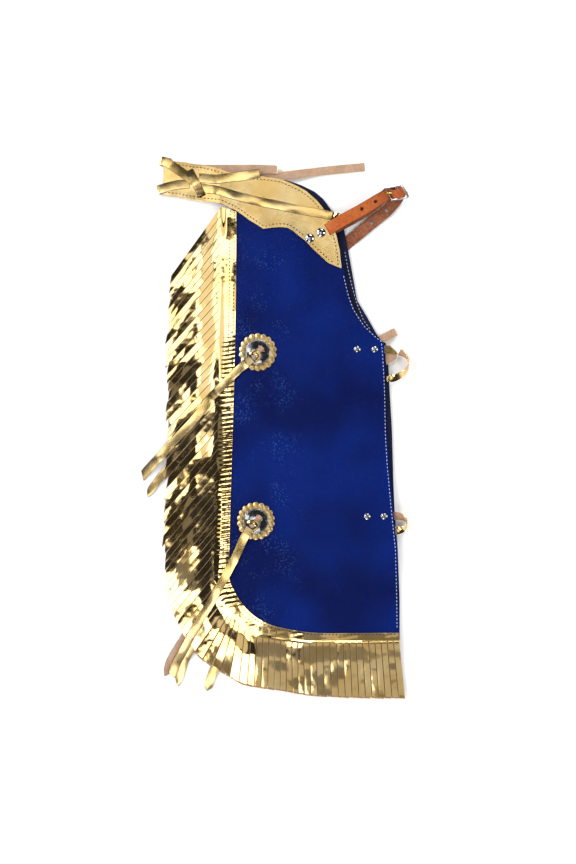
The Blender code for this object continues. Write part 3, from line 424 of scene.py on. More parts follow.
# %% Edges of the pattern pieces
UPPER_LEFT = [(-60, 404), (-60, 358), (-74, 345), (-75, 172), (-77, 92), (-80, -4), (-83, -116),
              (-85, -196), (-85, -236), (-75, -266), (-57, -295), (-35, -314), (-8, -328),
              (19, -334), (39, -337), (69, -340)]
UPPER_RIGHT = [(-40, 404), (-14, 402), (8, 398), (24, 392), (39, 385), (51, 378), (68, 363),
               (76, 353), (88, 336), (99, 306), (108, 266), (120, 204), (128, 181), (149, 157),
               (175, 136), (176, 88), (177, 19), (183, -61), (189, -127), (196, -194),
               (198, -260), (199, -340)]
LOWER_RIGHT = [(13, 397), (24, 395), (44, 388), (64, 378), (78, 366), (92, 347), (111, 318),
               (116, 292), (121, 266), (132, 204), (148, 177), (165, 147), (178, 135), (182, 100),
               (184, 59), (188, -8), (190, -87), (192, -132), (197, -192), (200, -276),
               (200, -340)]
LOWER_LEFT = [(-60, 397), (-60, 358), (-74, 345)] + UPPER_LEFT[3:]
YOKE = np.array([(-88, 406, -88, 360), (-62, 404, -61, 347), (-40, 403, -40, 332),
                 (-19, 402, -18, 318), (8, 398, -4, 320), (24, 392, 8, 321), (39, 385, 20, 320),
                 (51, 378, 29, 315), (68, 363, 40, 306), (76, 353, 50, 298), (88, 336, 61, 286),
                 (99, 306, 73, 275), (104, 284, 85, 264), (106, 265, 96, 259),
                 (107, 257, 106, 255)], float)
BELT = np.array([(-178, 428, 372), (-166, 427, 371), (-155, 426, 370), (-144, 425, 367),
                 (-129, 422, 365), (-116, 421, 363), (-99, 417, 361), (-85, 413, 360),
                 (-60.4, 405, 359)], float)


def panel(name, left, right, height, wall, face, flesh, pitch=4.0, columns=70):
    """A leg panel: rows of equal y about pitch apart, each running evenly from the left edge to
    the right one."""
    left, right = np.array(left[::-1], float), np.array(right[::-1], float)
    corners = np.unique(np.concatenate([left[:, 1], right[:, 1]]))
    counts = np.maximum(1, np.ceil(np.diff(corners) / pitch)).astype(int)
    y = np.concatenate([np.linspace(a, b, n, endpoint=False)
                        for a, b, n in zip(corners, corners[1:], counts)] + [corners[-1:]])
    first, last = np.interp(y, left[:, 1], left[:, 0]), np.interp(y, right[:, 1], right[:, 0])
    v = np.linspace(0.0, 1.0, columns + 1)[None, :]
    x = first[:, None] + (last - first)[:, None] * v
    y = np.broadcast_to(y[:, None], x.shape)
    under = np.stack([x, y, height(x, y)], axis=-1).reshape(-1, 3)
    return close_leather(name, under + [0, 0, wall], under, grid_faces(*x.shape), face, flesh)


def patch_between(name, first, second, height, wall, face, flesh, columns, steps=5):
    """A piece between two edge lines, made fine along the lines but kept to their corners."""
    mark = np.linspace(0, len(first) - 1, (len(first) - 1) * steps + 1)
    at = np.arange(len(first))
    a = np.stack([np.interp(mark, at, first[:, k]) for k in (0, 1)], axis=-1)[:, None]
    b = np.stack([np.interp(mark, at, second[:, k]) for k in (0, 1)], axis=-1)[:, None]
    v = np.linspace(0.0, 1.0, columns + 1)[None, :, None]
    plan = b + (a - b) * v
    x, y = plan[..., 0].T, plan[..., 1].T
    under = np.stack([x, y, height(x, y)], axis=-1).reshape(-1, 3)
    return close_leather(name, under + [0, 0, wall], under, grid_faces(*x.shape), face, flesh)


leg_upper = panel("chap_leg_upper", UPPER_LEFT, UPPER_RIGHT, leg_under, LEG_WALL, blue,
                  blue_flesh)
leg_lower = panel("chap_leg_lower", LOWER_LEFT, LOWER_RIGHT, lambda x, y: LOWER_LEG + 0.0 * x,
                  LEG_WALL, blue_flesh, blue, 8.0, 30)
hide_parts("leg_upper")
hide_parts("leg_lower")
print("legs:", [len(p.data.polygons) for p in (leg_upper, leg_lower)], "faces")

# %% Yokes and half belts
yoke_upper = patch_between("yoke_upper_gold", YOKE[:, :2], YOKE[:, 2:],
                           lambda x, y: leg_top(x, y) + SEAM, GOLD_WALL, yoke_gold,
                           natural_flesh, 40)
yoke_lower = patch_between("yoke_lower_gold", YOKE[:10, :2], YOKE[:10, 2:],
                           lambda x, y: 0.0 * x, GOLD_WALL, natural_flesh, yoke_gold, 6, 3)
belt_upper = patch_between("belt_upper_gold", BELT[:, [0, 1]], BELT[:, [0, 2]], leg_under,
                           LEG_WALL, belt_gold, natural_flesh, 16)
belt_lower = patch_between("belt_lower_gold", BELT[:, [0, 1]], BELT[:, [0, 2]],
                           lambda x, y: LOWER_LEG + 0.0 * x, LEG_WALL, natural_flesh,
                           belt_gold, 6, 3)
for piece, node in ((yoke_upper, "yoke_upper"), (yoke_lower, "yoke_lower"),
                    (belt_upper, "belt_upper"), (belt_lower, "belt_lower")):
    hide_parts(node)
print("yokes and belts made")

# %% [markdown]
# ## Fringe
# The fringe is a strip sewn round the edge, slit into strands that stay joined at its root. Loose
# blades laid side by side would be easier, but a real fringe is one piece of leather, so it is made
# as a comb: strands share the strip, and only below the slits' roots do they part. In the table,
# lines run from the strip's inner edge over the root to the tip, and a strand is the leather
# between two marks on it. Each strand turns and waves a little, which is what makes one strand
# mirror the lamp and the next one the dark room. Stitches pull the strip into small puckers.

# %% The fringe table
FRINGE = np.array([
    (-61, 346.2, -86, 354.3, 6.0, 0.62, -170, 238, 10),
    (-62, 204, -89, 204, 6.0, 0.62, -176, 107, 7),
    (-64, 100, -90, 100, 6.0, 0.62, -175, 9, 7),
    (-67, -4, -92, -4, 6.0, 0.62, -178, -103, 6),
    (-70, -100, -92, -100, 6.0, 0.62, -180, -207, 6),
    (-72, -186, -96, -186, 6.0, 0.62, -172, -276, 3),
    (-73, -236, -98, -236, 6.0, 0.62, -157, -312, 3),
    (-64, -262, -88, -284, 6.0, 0.62, -137, -346, 2),
    (-52, -281, -75, -300, 6.0, 0.62, -115, -370, 3),
    (-37, -297, -57, -314, 6.0, 0.62, -72, -398, 2),
    (-20, -308.5, -38, -333, 6.0, 0.62, -44, -411, 4),
    (5, -318.5, 0, -338, 5.5, 0.75, -1, -418, 6),
    (58, -327.5, 56, -342, 5.2, 0.90, 58, -427, 6),
    (120, -328.5, 120, -342, 5.2, 0.90, 124, -431, 8),
    (199, -328, 200, -342, 5.2, 0.90, 209, -432, 0)], float)
COUNT = np.concatenate([[0.0], np.cumsum(FRINGE[:-1, -1])])
LENGTHS = {"side": (0, 6), "corner": (6, 11), "hem": (11, 14)}
SLIT, OVERHANG, SHORTFALL = 1.1, 3.0, -6.0
PUCKER, PUCKER_PITCH = 0.24, 7.5


FINE = thread_curve(np.column_stack([FRINGE, COUNT]), 8)


def read(column, mark):
    """A column of the table at a mark, read off a smooth curve through its rows."""
    return np.interp(mark, FINE[:, -1], FINE[:, column])


def pucker(x, y):
    """Puckers of the stitched strip, in millimetres: a wave along the seam whose phase wanders,
    full on the side and fading out at the yoke and towards the hem."""
    along = y - 0.35 * x
    wave = np.sin(2 * pi * along / PUCKER_PITCH + 1.7 * np.sin(along / 23.0) + x / 6.0)
    strong = smooth_step((200.0 - y) / 120.0) * smooth_step((y + 300.0) / 60.0)
    return PUCKER * (0.08 + 0.92 * strong) * (0.5 + 0.5 * wave)


print("strands:", int(COUNT[-1]), "above")

# %% A comb of strands
STRIP_STEPS, STRAND_STEPS, COLUMNS = 16, 22, 8


def comb(name, first, last, upper, seed, face, flesh):
    """Points indexed by strand, station and column. A station t from 0 to 1 lies on the strip and
    one from 1 to 2 on the strand; each is a straight blend of inner edge, root and tip."""
    chance = np.random.default_rng(seed)
    strands = int(COUNT[last] - COUNT[first]) - (0 if upper else 1)
    marks = np.linspace(COUNT[first], COUNT[last], strands + 1)
    roots = np.stack([read(2, marks), read(3, marks)], axis=-1)
    pitch = np.linalg.norm(np.diff(roots, axis=0), axis=1)[:, None]
    half = 0.5 * SLIT / pitch * (marks[1] - marks[0])
    v = np.linspace(0.0, 1.0, COLUMNS + 1)[None, :]
    mark = (marks[:-1, None] + half) * (1 - v) + (marks[1:, None] - half) * v
    inner, root, tip = (np.stack([read(k, mark), read(k + 1, mark)], axis=-1) for k in (0, 2, 6))
    reach = np.linalg.norm(tip - root, axis=-1, keepdims=True)
    jag = 6.0 * smooth_step((COUNT[7] - mark) / 8.0) + 1.0
    cut = jag * (chance.uniform(-1.0, 0.2, (strands, 1))
                 + chance.uniform(0.3, 0.9, (strands, 1)) * (v - 1))
    side_strand = smooth_step((COUNT[7] - mark) / 4.0)
    if not upper:
        cut = cut + OVERHANG + (SHORTFALL - OVERHANG) * side_strand
    tip = tip + (tip - root) / reach * cut[..., None]

    t = np.concatenate([np.linspace(0, 1, STRIP_STEPS, endpoint=False),
                        1.0 + np.linspace(0, 1, STRAND_STEPS + 1)])[None, :, None]
    strip, strand = np.minimum(t, 1.0), np.maximum(t - 1.0, 0.0)
    plan = (inner[:, None] + (root - inner)[:, None] * strip[..., None]
            + (tip - root)[:, None] * strand[..., None])
    side = (2.0 * v - 1.0)[:, None, :]
    if upper:
        low = upper_heights(plan, inner, root, reach, mark, strip, strand, side, chance)
    else:
        low = LOWER_STRAND_REST * smooth_step(strand / 0.1) + 0.0 * side
    low = np.broadcast_to(low, plan.shape[:3])
    wall = GOLD_WALL + (STRAND_WALL - GOLD_WALL) * np.broadcast_to(strand, plan.shape[:3])
    crown = 0.03 * (1.0 - side ** 2) * np.minimum(strand * 8.0, 1.0)
    under = np.concatenate([plan, low[..., None]], axis=-1)
    top = under + np.stack([0 * wall, 0 * wall, wall + crown], axis=-1)

    at = np.arange(low.size).reshape(low.shape)
    quads = np.stack([at[:, :-1, :-1], at[:, 1:, :-1], at[:, 1:, 1:], at[:, :-1, 1:]], axis=-1)
    joins = at[:, :STRIP_STEPS + 1]
    bridges = np.stack([joins[:-1, :-1, -1], joins[:-1, 1:, -1], joins[1:, 1:, 0],
                        joins[1:, :-1, 0]], axis=-1)
    faces = np.concatenate([quads.reshape(-1, 4), bridges.reshape(-1, 4)])
    return close_leather(name, top.reshape(-1, 3), under.reshape(-1, 3), faces, face, flesh, 0.2)


def upper_heights(plan, inner, root, reach, mark, strip, strand, side, chance):
    """Underside of the upper fringe: on the leg with its puckers, eased down to the root's height
    where it leaves the leg, then each strand at a lift, a turn and a wave of its own."""
    leave, root_height = read(5, mark)[:, None], read(4, mark)[:, None]
    count = len(plan)
    on_leg = leg_top(plan[..., 0], plan[..., 1]) + SEAM + pucker(plan[..., 0], plan[..., 1])
    edge = inner[:, None] + (root - inner)[:, None] * leave[..., None]
    edge_high = leg_top(edge[..., 0], edge[..., 1]) + SEAM + pucker(edge[..., 0], edge[..., 1])
    fall = smooth_step((strip - leave) / (1.0 - leave))
    on_strip = np.where(strip < leave, on_leg, edge_high + (root_height - edge_high) * fall)
    lift = chance.uniform(0.0, 0.45, (count, 1, 1))
    turn = chance.uniform(-0.13, 0.13, (count, 1, 1))
    turn[0] = 0.5 if mark[0, 0] < 1.0 else turn[0]
    phase = chance.uniform(0.0, 2 * pi, (count, 1, 1))
    wave = 0.12 * np.sin(phase + strand * reach[:, None, :, 0] / 55.0 * 2 * pi)
    rest = (STRAND_REST + lift * smooth_step(strand) + side * turn * smooth_step(strand * 1.5)
            + wave * smooth_step(strand * 3.0))
    settle = smooth_step(strand / 0.45)
    return np.where(strip < 1.0, on_strip, root_height * (1 - settle) + rest * settle)


fringe = {}
for number, (length, (first, last)) in enumerate(LENGTHS.items()):
    for layer, upper in (("lower", False), ("upper", True)):
        sides = (strand_gold, natural_flesh) if upper else (natural_flesh, strand_gold)
        key = f"fringe_{layer}_{length}"
        fringe[key] = comb("cut_" + key, first, last, upper, 20 + number, *sides)
        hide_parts(key)
print("fringe:", sum(len(p.data.polygons) for p in fringe.values()), "faces")

# %% [markdown]
# ## Laces, strings and straps
# All of these are long strips, so one function carries a strip along a path: at each station the
# path gives the place, a plan angle and a tilt give the direction of its width, and the wall is
# square to both. Where a strip turns over, its other side shows, because face and flesh side have
# their own finish. A punched hole is made by moving the grid's own lines onto a circle and leaving
# the cells inside it out, which keeps the wall of the hole clean without a Boolean.

# %% A strip along a path
def across_vector(turn, tilt):
    """(cos turn cos tilt, sin turn cos tilt, sin tilt), angles in degrees."""
    turn, tilt = np.radians(turn), np.radians(tilt)
    return np.stack([np.cos(turn) * np.cos(tilt), np.sin(turn) * np.cos(tilt), np.sin(tilt)],
                    axis=-1)


def unit(vectors):
    """Vectors divided by their lengths."""
    return vectors / np.linalg.norm(vectors, axis=-1, keepdims=True)


def distance_along(points):
    """Length of the line from its first point to each point, summed straight between points."""
    return np.concatenate([[0.0], np.cumsum(np.linalg.norm(np.diff(points, axis=0), axis=1))])


def even_rows(rows, step):
    """The same rows read again at even steps along the path."""
    gone = distance_along(rows[:, :3])
    marks = np.linspace(0.0, gone[-1], int(round(gone[-1] / step)) + 1)
    return np.stack([np.interp(marks, gone, column) for column in rows.T], axis=-1)


def punch(gone, v, half, holes, radius):
    """Moves the square of grid lines round each hole onto its circle. Returns the cells inside."""
    dropped = np.zeros((v.shape[0] - 1, v.shape[1] - 1), bool)
    for along, aside in holes:
        i = int(np.argmin(abs(gone[:, 0] - along)))
        j = int(np.argmin(abs(v[i] - aside / half[i])))
        di, dj = np.mgrid[-2:3, -2:3]
        ring = np.maximum(abs(di), abs(dj)) == 2
        angle = np.arctan2(dj, di)[ring]
        rows, columns = (i + di)[ring], (j + dj)[ring]
        gone[rows, columns] = along + radius * np.cos(angle)
        v[rows, columns] = (aside + radius * np.sin(angle)) / half[rows]
        dropped[i - 2:i + 2, j - 2:j + 2] = True
    return dropped


strip_cuts = {}


def strip_along(name, rows, width, face, flesh, end=1.0, slant=0.0, cells=6, ripple=0.0,
                rim=0.25, holes=(), hole=0.0, cup=0.0, edge=None):
    """Rows are x, y, z of the middle, plan angle, tilt and wall, and an optional widening. A point
    is path + across * half width * v + normal * (wall / 2 + cup * v squared). end narrows the last
    8 mm, slant shears it, and ripple waves it."""
    rows = np.asarray(rows, float)
    along = unit(np.gradient(rows[:, :3], axis=0))
    across = across_vector(rows[:, 3], rows[:, 4])
    half = np.full(len(rows), 0.5 * width)
    if rows.shape[1] > 6:
        half *= rows[:, 6]
    else:
        across = unit(across - along * np.sum(across * along, axis=1, keepdims=True))
    normal = unit(np.cross(along, across))
    length = distance_along(rows[:, :3])
    left = length[-1] - length
    half *= np.where(left < 8.0, end + (1 - end) * left / 8.0, 1.0)
    gone = np.repeat(length[:, None], cells + 1, axis=1)
    v = np.repeat(np.linspace(-1.0, 1.0, cells + 1)[None], len(rows), axis=0)
    dropped = punch(gone, v, half, holes, hole)

    def at(values):
        return np.stack([np.interp(gone, length, column) for column in values.T], axis=-1)

    shear = slant * np.clip(1.0 - np.interp(gone, length, left) / 14.0, 0.0, 1.0) * v
    bend = ripple * np.sin(gone / 9.0) * (0.4 + 0.6 * v ** 2) - cup * v ** 2
    middle = (at(rows[:, :3]) + at(across * half[:, None]) * v[..., None]
              + at(along) * shear[..., None] + at(normal) * bend[..., None])
    wall = at(normal * 0.5 * rows[:, 5:6])
    faces = grid_faces(len(rows), cells + 1)[:, ::-1][~dropped.ravel()]
    piece = close_leather(name, (middle + wall).reshape(-1, 3), (middle - wall).reshape(-1, 3),
                          faces, face, flesh, rim, edge)
    strip_cuts[piece.name] = (width, float(length[-1]))
    return piece


def laid_rows(table, wall, steps=8):
    """A strip that lies on what its table names: plan on a smooth curve, height in straight lines
    between the table's rows with their corners rounded, width square to the path."""
    plan = thread_curve([row[:2] for row in table], steps)
    heights = [float(LEVELS[row[2]](row[0], row[1])) + row[3] + 0.5 * wall for row in table]
    z = np.interp(np.arange(len(plan)) / steps, np.arange(len(table)), heights)
    z[2:-2] = np.convolve(z, np.full(5, 0.2), "valid")
    slope = np.gradient(plan, axis=0)
    heading = np.degrees(np.arctan2(slope[:, 1], slope[:, 0])) + 90.0
    return np.column_stack([plan, z, heading, 0.0 * z, 0.0 * z + wall])


print("strip tool ready")

# %% Back lacing with its knot and four free ends
LOOP_TOP = [(-129, 394, "leg", 1.7), (-142, 404, "leg", 1.7), (-155, 413, "leg", 0.5),
            (-165, 420, "leg", 0.0), (-172, 424.5, "leg", 0.0), (-176, 426, "leg", 0.0),
            (-179, 426.6, "leg", 0.0)]
LOOP_LOW = [(-136, 390, "leg", 0.0), (-155, 389, "leg", 0.0), (-169, 386, "leg", 0.0),
            (-179, 383, "leg", 0.2)]
KNOT = [(-137, 411.5, "leg", 3.9), (-135, 407.5, "leg", 4.6), (-132, 402, "leg", 5.2),
        (-126, 391, "leg", 5.4), (-120.5, 380, "leg", 4.2), (-117.5, 373.5, "leg", 2.0),
        (-116, 370, "leg", 0.0)]
END_SHORT = [(-121, 399.5, "leg", 0.0), (-108, 398.5, "leg", 0.0), (-98, 397.5, "leg", 0.3),
             (-91, 397.5, "gold", 0.0), (-78, 399, "gold", 0.0), (-52, 402, "gold", 0.0),
             (-24, 407, "gold", 0.0)]
END_LONG = [(-121, 384, "leg", 0.0), (-107, 382, "leg", 0.0), (-98, 380.8, "leg", 0.3),
            (-91, 379.5, "gold", 0.0), (-78, 376, "gold", 0.0), (-62, 371, "gold", 0.0),
            (-27, 362, "gold", 0.0), (4, 356, "gold", 0.0), (40, 348, "gold", 0.0),
            (76, 342, "gold", 0.0), (87, 339.6, "gold", 0.0), (93, 338.3, "gold", -0.4),
            (99, 336.9, "leg", -2.6), (106, 335, "leg", -3.2)]
TAIL_SHORT = [(-115, 414, "lower", 0.0), (-56, 414, "lower", 0.0), (-30, 414, "lower", 1.6),
              (4, 413, "lower", 1.7)]
TAIL_LONG = [(-19, 399, "lower", 0.0), (28, 405, "lower", 0.0), (44, 407, "floor", 2.2),
             (76, 411, "floor", 0.4), (144, 418, "floor", 0.0)]


def lace_round_belt(table, bulge, tuck):
    """The lace runs over the belt, then round half a circle whose diameter is the height between
    the run over the belt and the run under it."""
    rows = laid_rows(table, LACE_WALL)
    x, y, top, angle = rows[-1, :4]
    ahead = np.array([cos(radians(angle - 90.0)), sin(radians(angle - 90.0))])
    thin = LOWER_LEG - SEAM - 0.15
    low = LOWER_LEG - SEAM - 0.5 * thin
    radius = 0.5 * (top - low)
    t = np.radians(np.linspace(8, 168, 13))[:, None]
    turn = np.hstack([np.array([x, y]) + ahead * (bulge + radius * np.sin(t)),
                      low + radius * (1 + np.cos(t)), 0 * t + angle, 0 * t, 0 * t + LACE_WALL])
    back = [(*(np.array([x, y]) - ahead * reach), low, angle, 0.0, thin) for reach in (2.0, tuck)]
    return np.concatenate([rows, turn, back])


laces = {
    "lace_loop_top": (lace_round_belt(LOOP_TOP, 2.0, 13.0), 14.5, {}),
    "lace_loop_low": (lace_round_belt(LOOP_LOW, 6.0, 13.0), 14.5, {}),
    "lace_knot": (laid_rows(KNOT, 1.5), 13.0, {}),
    "lace_end_short": (laid_rows(END_SHORT, LACE_WALL), 14.5, {"ripple": 0.12}),
    "lace_end_long": (laid_rows(END_LONG, LACE_WALL), 14.0, {"ripple": 0.12}),
}
made = {}
for key, (rows, width, more) in laces.items():
    made[key] = strip_along("gold_" + key, rows, width, lace_gold, natural_flesh, cup=0.2,
                            rim=0.5, edge=cut_edge, **more)
for key, table in (("lace_tail_short", TAIL_SHORT), ("lace_tail_long", TAIL_LONG)):
    made[key] = strip_along("flesh_" + key, laid_rows(table, LACE_WALL), 13.8, natural_flesh,
                            lace_gold)
for key, piece in made.items():
    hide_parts(key)
print("laces:", len(made))

# %% Concho strings
STRINGS = {
    "string_1": [(-37, 111, "dome", 2.6), (-45, 103.5, "rosette", 0.2),
                 (-52, 97.5, "rosette", -0.2), (-62, 89, "gold", 0.4), (-80, 71, "gold", 0.5),
                 (-93, 57.5, "fringe", 3.4), (-105, 45, "fringe", 0.8), (-129, 13, "fringe", 0.0),
                 (-160, -20, "fringe", 0.0), (-183, -45.5, "fringe", -0.2),
                 (-195, -58, "floor", 3.4), (-212, -77, "floor", 0.6)],
    "string_2": [(-39, -160, "dome", 2.6), (-45, -169, "rosette", 0.2),
                 (-51, -180, "rosette", 0.0), (-62, -205, "gold", 0.2), (-77, -234, "gold", 0.1),
                 (-92, -260, "gold", 0.1), (-105, -284, "fringe", 0.3),
                 (-120, -308, "fringe", 0.0), (-134, -333, "fringe", 0.0),
                 (-146, -356, "floor", 4.4), (-158, -378, "floor", 2.8),
                 (-165, -396, "floor", 2.4)],
    "string_3": [(-103, 11, "under_fringe", 0.0), (-120, -7, "under_fringe", 0.0),
                 (-152, -42, "under_fringe", 0.0), (-181, -76.5, "under_fringe", 0.0),
                 (-204, -107, "floor", 0.5)],
    "string_4": [(-103, -273, "under_fringe", 0.0), (-115, -292, "under_fringe", 0.0),
                 (-136, -324, "under_fringe", 0.0), (-149, -343, "under_fringe", 0.0),
                 (-155, -352, "floor", 1.1), (-168, -375, "floor", 0.2),
                 (-173, -396, "floor", 0.1)],
    "string_5": [(-91, -285, "under_fringe", 0.0), (-101, -300, "under_fringe", 0.0),
                 (-118, -328, "under_fringe", 0.0), (-134, -355, "under_fringe", 0.0),
                 (-140, -366, "floor", 1.3), (-145, -376, "floor", 0.8),
                 (-156, -412, "floor", 0.2)],
    "string_6": [(-77, -342, "under_fringe", 0.0), (-86, -364, "under_fringe", 0.0),
                 (-98, -390, "floor", 1.2), (-109, -421, "floor", 0.1)],
}
STRING_CUT = {"string_1": (14.0, 1.3, 1.0, 5.0), "string_2": (14.0, 1.3, 1.0, 3.0),
              "string_3": (12.5, 1.2, 0.5, 3.0), "string_4": (12.5, 1.2, 0.5, -3.0),
              "string_5": (12.5, 1.2, 0.3, 2.0), "string_6": (14.5, 1.2, 0.1, 0.0)}
for key, table in STRINGS.items():
    width, wall, end, slant = STRING_CUT[key]
    sides = (natural_flesh, lace_gold) if key == "string_4" else (lace_gold, natural_flesh)
    made[key] = strip_along("cut_" + key, laid_rows(table, wall), width, *sides, end=end,
                            slant=slant, ripple=0.1, cup=0.2, rim=0.5, edge=cut_edge)
    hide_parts(key)
print("strings:", len(STRINGS))

# %% [markdown]
# ## Front strap and buckle
# One tan strap leaves the yoke, runs through the buckle, folds back on itself and is let in under
# the lower leg, so its flesh side shows on the way back. The buckle hangs on a short doubled strap,
# the chape, of which only a strip shows. The same rows as in the solids are read more finely. The
# frame of the buckle is a bar bent to a rectangle: a rounded section carried round a closed path.

# %% The strap's path
BUCKLE_AT = np.array([195.0, 374.6, 22.0])
BUCKLE_ALONG = np.array([28.3, 4.0, 17.0])
BUCKLE_ACROSS = np.array([13.0, -20.0, -17.0])
BUCKLE_BAR, BUCKLE_WALL = 3.6, 2.6
STRAP_WIDTH, STRAP_HOLE = 19.5, 5.3
STRAP_OUT = [(84, 316, 12.4, 119, 0, 2.0), (98, 325, 13.7, 119, 0, 2.0),
             (114, 334.5, 12.2, 119, 4, 2.0), (140, 349, 10.4, 119, 13, 2.0),
             (160, 361, 11.3, 120, 24, 2.0), (171.5, 368, 12.7, 122, 32, 2.0)]
STRAP_BACK = [(199.2, 373.6, 9.4, 151, 2, 2.0), (197.2, 369.6, 3.8, 149, -7, 2.0),
              (194.0, 364.4, 1.7, 144, -2, 2.0), (188, 357.3, 1.35, 136, 0, 2.0),
              (179, 347.5, 1.3, 129.5, 0, 2.0), (155, 328, 1.3, 129.5, 0, 2.0),
              (134, 310.5, 1.3, 129.5, 0, 2.0), (127, 304.8, 0.95, 129.5, 0, 1.6),
              (121, 300, 0.64, 129.5, 0, 1.14), (105, 286.7, 0.64, 129.5, 0, 1.14)]
CHAPE = [(52, 300, 4.55, 117, 0, 2.0), (98, 322, 4.55, 117, 0, 2.0),
         (116, 331, 4.6, 119, 1, 2.0)]
CHAPE_ASIDE = [(3, 5.0, 3.2), (4, 4.2, 2.8), (5, 2.6, 2.7)]
FOLD_AT, FOLD_RADIUS, FOLD_TURN = 24.5, 2.4, 39.0
HOLES_OUT = [(139, 350), (161, 362.3)]
HOLES_BACK = [(179, 347.5), (155, 328)]
buckle_length, buckle_width = np.linalg.norm(BUCKLE_ALONG), np.linalg.norm(BUCKLE_ACROSS)
ALONG, ACROSS = BUCKLE_ALONG / buckle_length, BUCKLE_ACROSS / buckle_width
ABOVE = np.cross(ACROSS, ALONG)
CORNER = BUCKLE_AT - 0.5 * BUCKLE_ALONG - 0.5 * BUCKLE_ACROSS
UNDER = 0.5 * BUCKLE_WALL + 0.5 * STRAP_WALL + CLEAR
CENTRE = 0.5 * buckle_width


def in_buckle(along, across, above):
    """Corner of the frame + along, across and above times the frame's own three directions."""
    along, across, above = (np.asarray(a, float)[..., None] for a in (along, across, above))
    return CORNER + ALONG * along + ACROSS * across + ABOVE * above


def angles_of(direction):
    """Plan angle and tilt of a unit vector, in degrees."""
    return np.degrees(np.arctan2(direction[1], direction[0])), np.degrees(np.arcsin(direction[2]))


def square_section(along, above, across=CENTRE, wall=STRAP_WALL):
    """A section that lies square in the buckle."""
    return (*in_buckle(along, across, above), *angles_of(-ACROSS), wall)


def folded_section(ahead, aside, above, turn):
    """A section turned in the plane of the buckle about a slanted fold line, and widened by one
    over the cosine of its slant so that the strap keeps its width."""
    t, line = radians(turn), radians(0.5 * FOLD_TURN)
    place = in_buckle(FOLD_AT + ahead * cos(line) - aside * sin(line),
                      CENTRE - ahead * sin(line) - aside * cos(line), above)
    return (*place, *angles_of(-ACROSS * cos(t) - ALONG * sin(t)), STRAP_WALL,
            1.0 / cos(abs(t - line) - line))


def front_strap_rows():
    """Out from the yoke, over the middle bar, round the fold and back under the lower leg."""
    inside = [square_section(0.5, -UNDER), square_section(4.4, -UNDER),
              square_section(0.5 * buckle_length - 2.2, UNDER),
              square_section(0.5 * buckle_length + 2.2, UNDER)]
    fold = [folded_section(FOLD_RADIUS * sin(t), 0.0, -UNDER - FOLD_RADIUS * (1.0 - cos(t)),
                           0.5 * FOLD_TURN) for t in np.radians([0, 45, 90, 135, 180])]
    slope = radians(0.5 * FOLD_TURN)
    fold.append(folded_section(-6.0 * cos(slope), -6.0 * sin(slope), -UNDER - 2 * FOLD_RADIUS,
                               FOLD_TURN))
    plain = [(*row, 1.0) for row in STRAP_OUT + inside]
    return np.array(plain + fold + [(*row, 1.0) for row in STRAP_BACK])


def chape_rows():
    """Between the legs, then aside of the strap and below it, into the buckle."""
    beneath = []
    for number, aside, below in CHAPE_ASIDE:
        row = np.array(STRAP_OUT[number], float)
        ahead = unit(row[:3] - np.array(STRAP_OUT[number - 1])[:3])
        side = across_vector(row[3], row[4])
        row[:3] -= side * aside + np.cross(ahead, side) * below
        beneath.append(tuple(row))
    thin = 0.7 * STRAP_WALL
    return np.array(CHAPE + beneath + [
        square_section(0.5, -UNDER - 2.6, CENTRE - 0.6, thin),
        square_section(5.5, -UNDER - 2.3, CENTRE - 1.0, thin),
        square_section(0.5 * buckle_length - 2.4, -1.6, CENTRE - 1.0, thin)])


def places_along(rows, plan, highest):
    """Each plan point as distance along the strap and aside of its middle, looking only at the
    run above or below a height of 8 mm."""
    run = np.flatnonzero((rows[:, 2] > 8.0) == highest)
    length = distance_along(rows[:, :3])
    found = []
    for x, y in plan:
        i = run[np.argmin(np.hypot(rows[run, 0] - x, rows[run, 1] - y))]
        across = across_vector(rows[i, 3], rows[i, 4])
        ahead = unit(rows[i + 1, :3] - rows[i - 1, :3])
        gap = np.array([x, y, rows[i, 2]]) - rows[i, :3]
        found.append((length[i] + gap @ ahead, gap @ across))
    return found


rows = even_rows(thread_curve(front_strap_rows(), 12), 1.3)
holes = places_along(rows, HOLES_OUT, True) + places_along(rows, HOLES_BACK, False)
strap = strip_along("cut_billet", rows, STRAP_WIDTH, tan_leather, brown_flesh, cells=16,
                    rim=0.4, holes=holes, hole=0.5 * STRAP_HOLE, edge=cut_edge)
chape = strip_along("cut_chape", thread_curve(chape_rows(), 8), STRAP_WIDTH, brown_flesh,
                    tan_leather, cells=8, rim=0.4, edge=cut_edge)
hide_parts("billet")
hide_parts("chape")
print("strap", round(distance_along(rows[:, :3])[-1]), "mm long, holes at",
      [round(float(h[0])) for h in holes])

# %% Buckle frame, middle bar and tongue
def bar_along(path, side, up, half_side, half_up, closed, sections=14):
    """Quads of a rounded bar: at each path point an ellipse in the directions side and up. An open
    bar is closed by a face over each end."""
    a = np.linspace(0.0, 2 * pi, sections, endpoint=False)
    ring = (side[:, None] * (half_side * np.cos(a))[..., None]
            + up[:, None] * (half_up * np.sin(a))[..., None])
    points = path[:, None] + ring
    at = np.arange(len(path) * sections).reshape(len(path), sections)
    after = np.roll(at, -1, axis=0) if closed else at[1:]
    here = at if closed else at[:-1]
    faces = np.stack([here, np.roll(here, -1, axis=1), np.roll(after, -1, axis=1), after],
                     axis=-1).reshape(-1, 4).tolist()
    if not closed:
        faces += [at[0, ::-1].tolist(), at[-1].tolist()]
    return points.reshape(-1, 3), faces


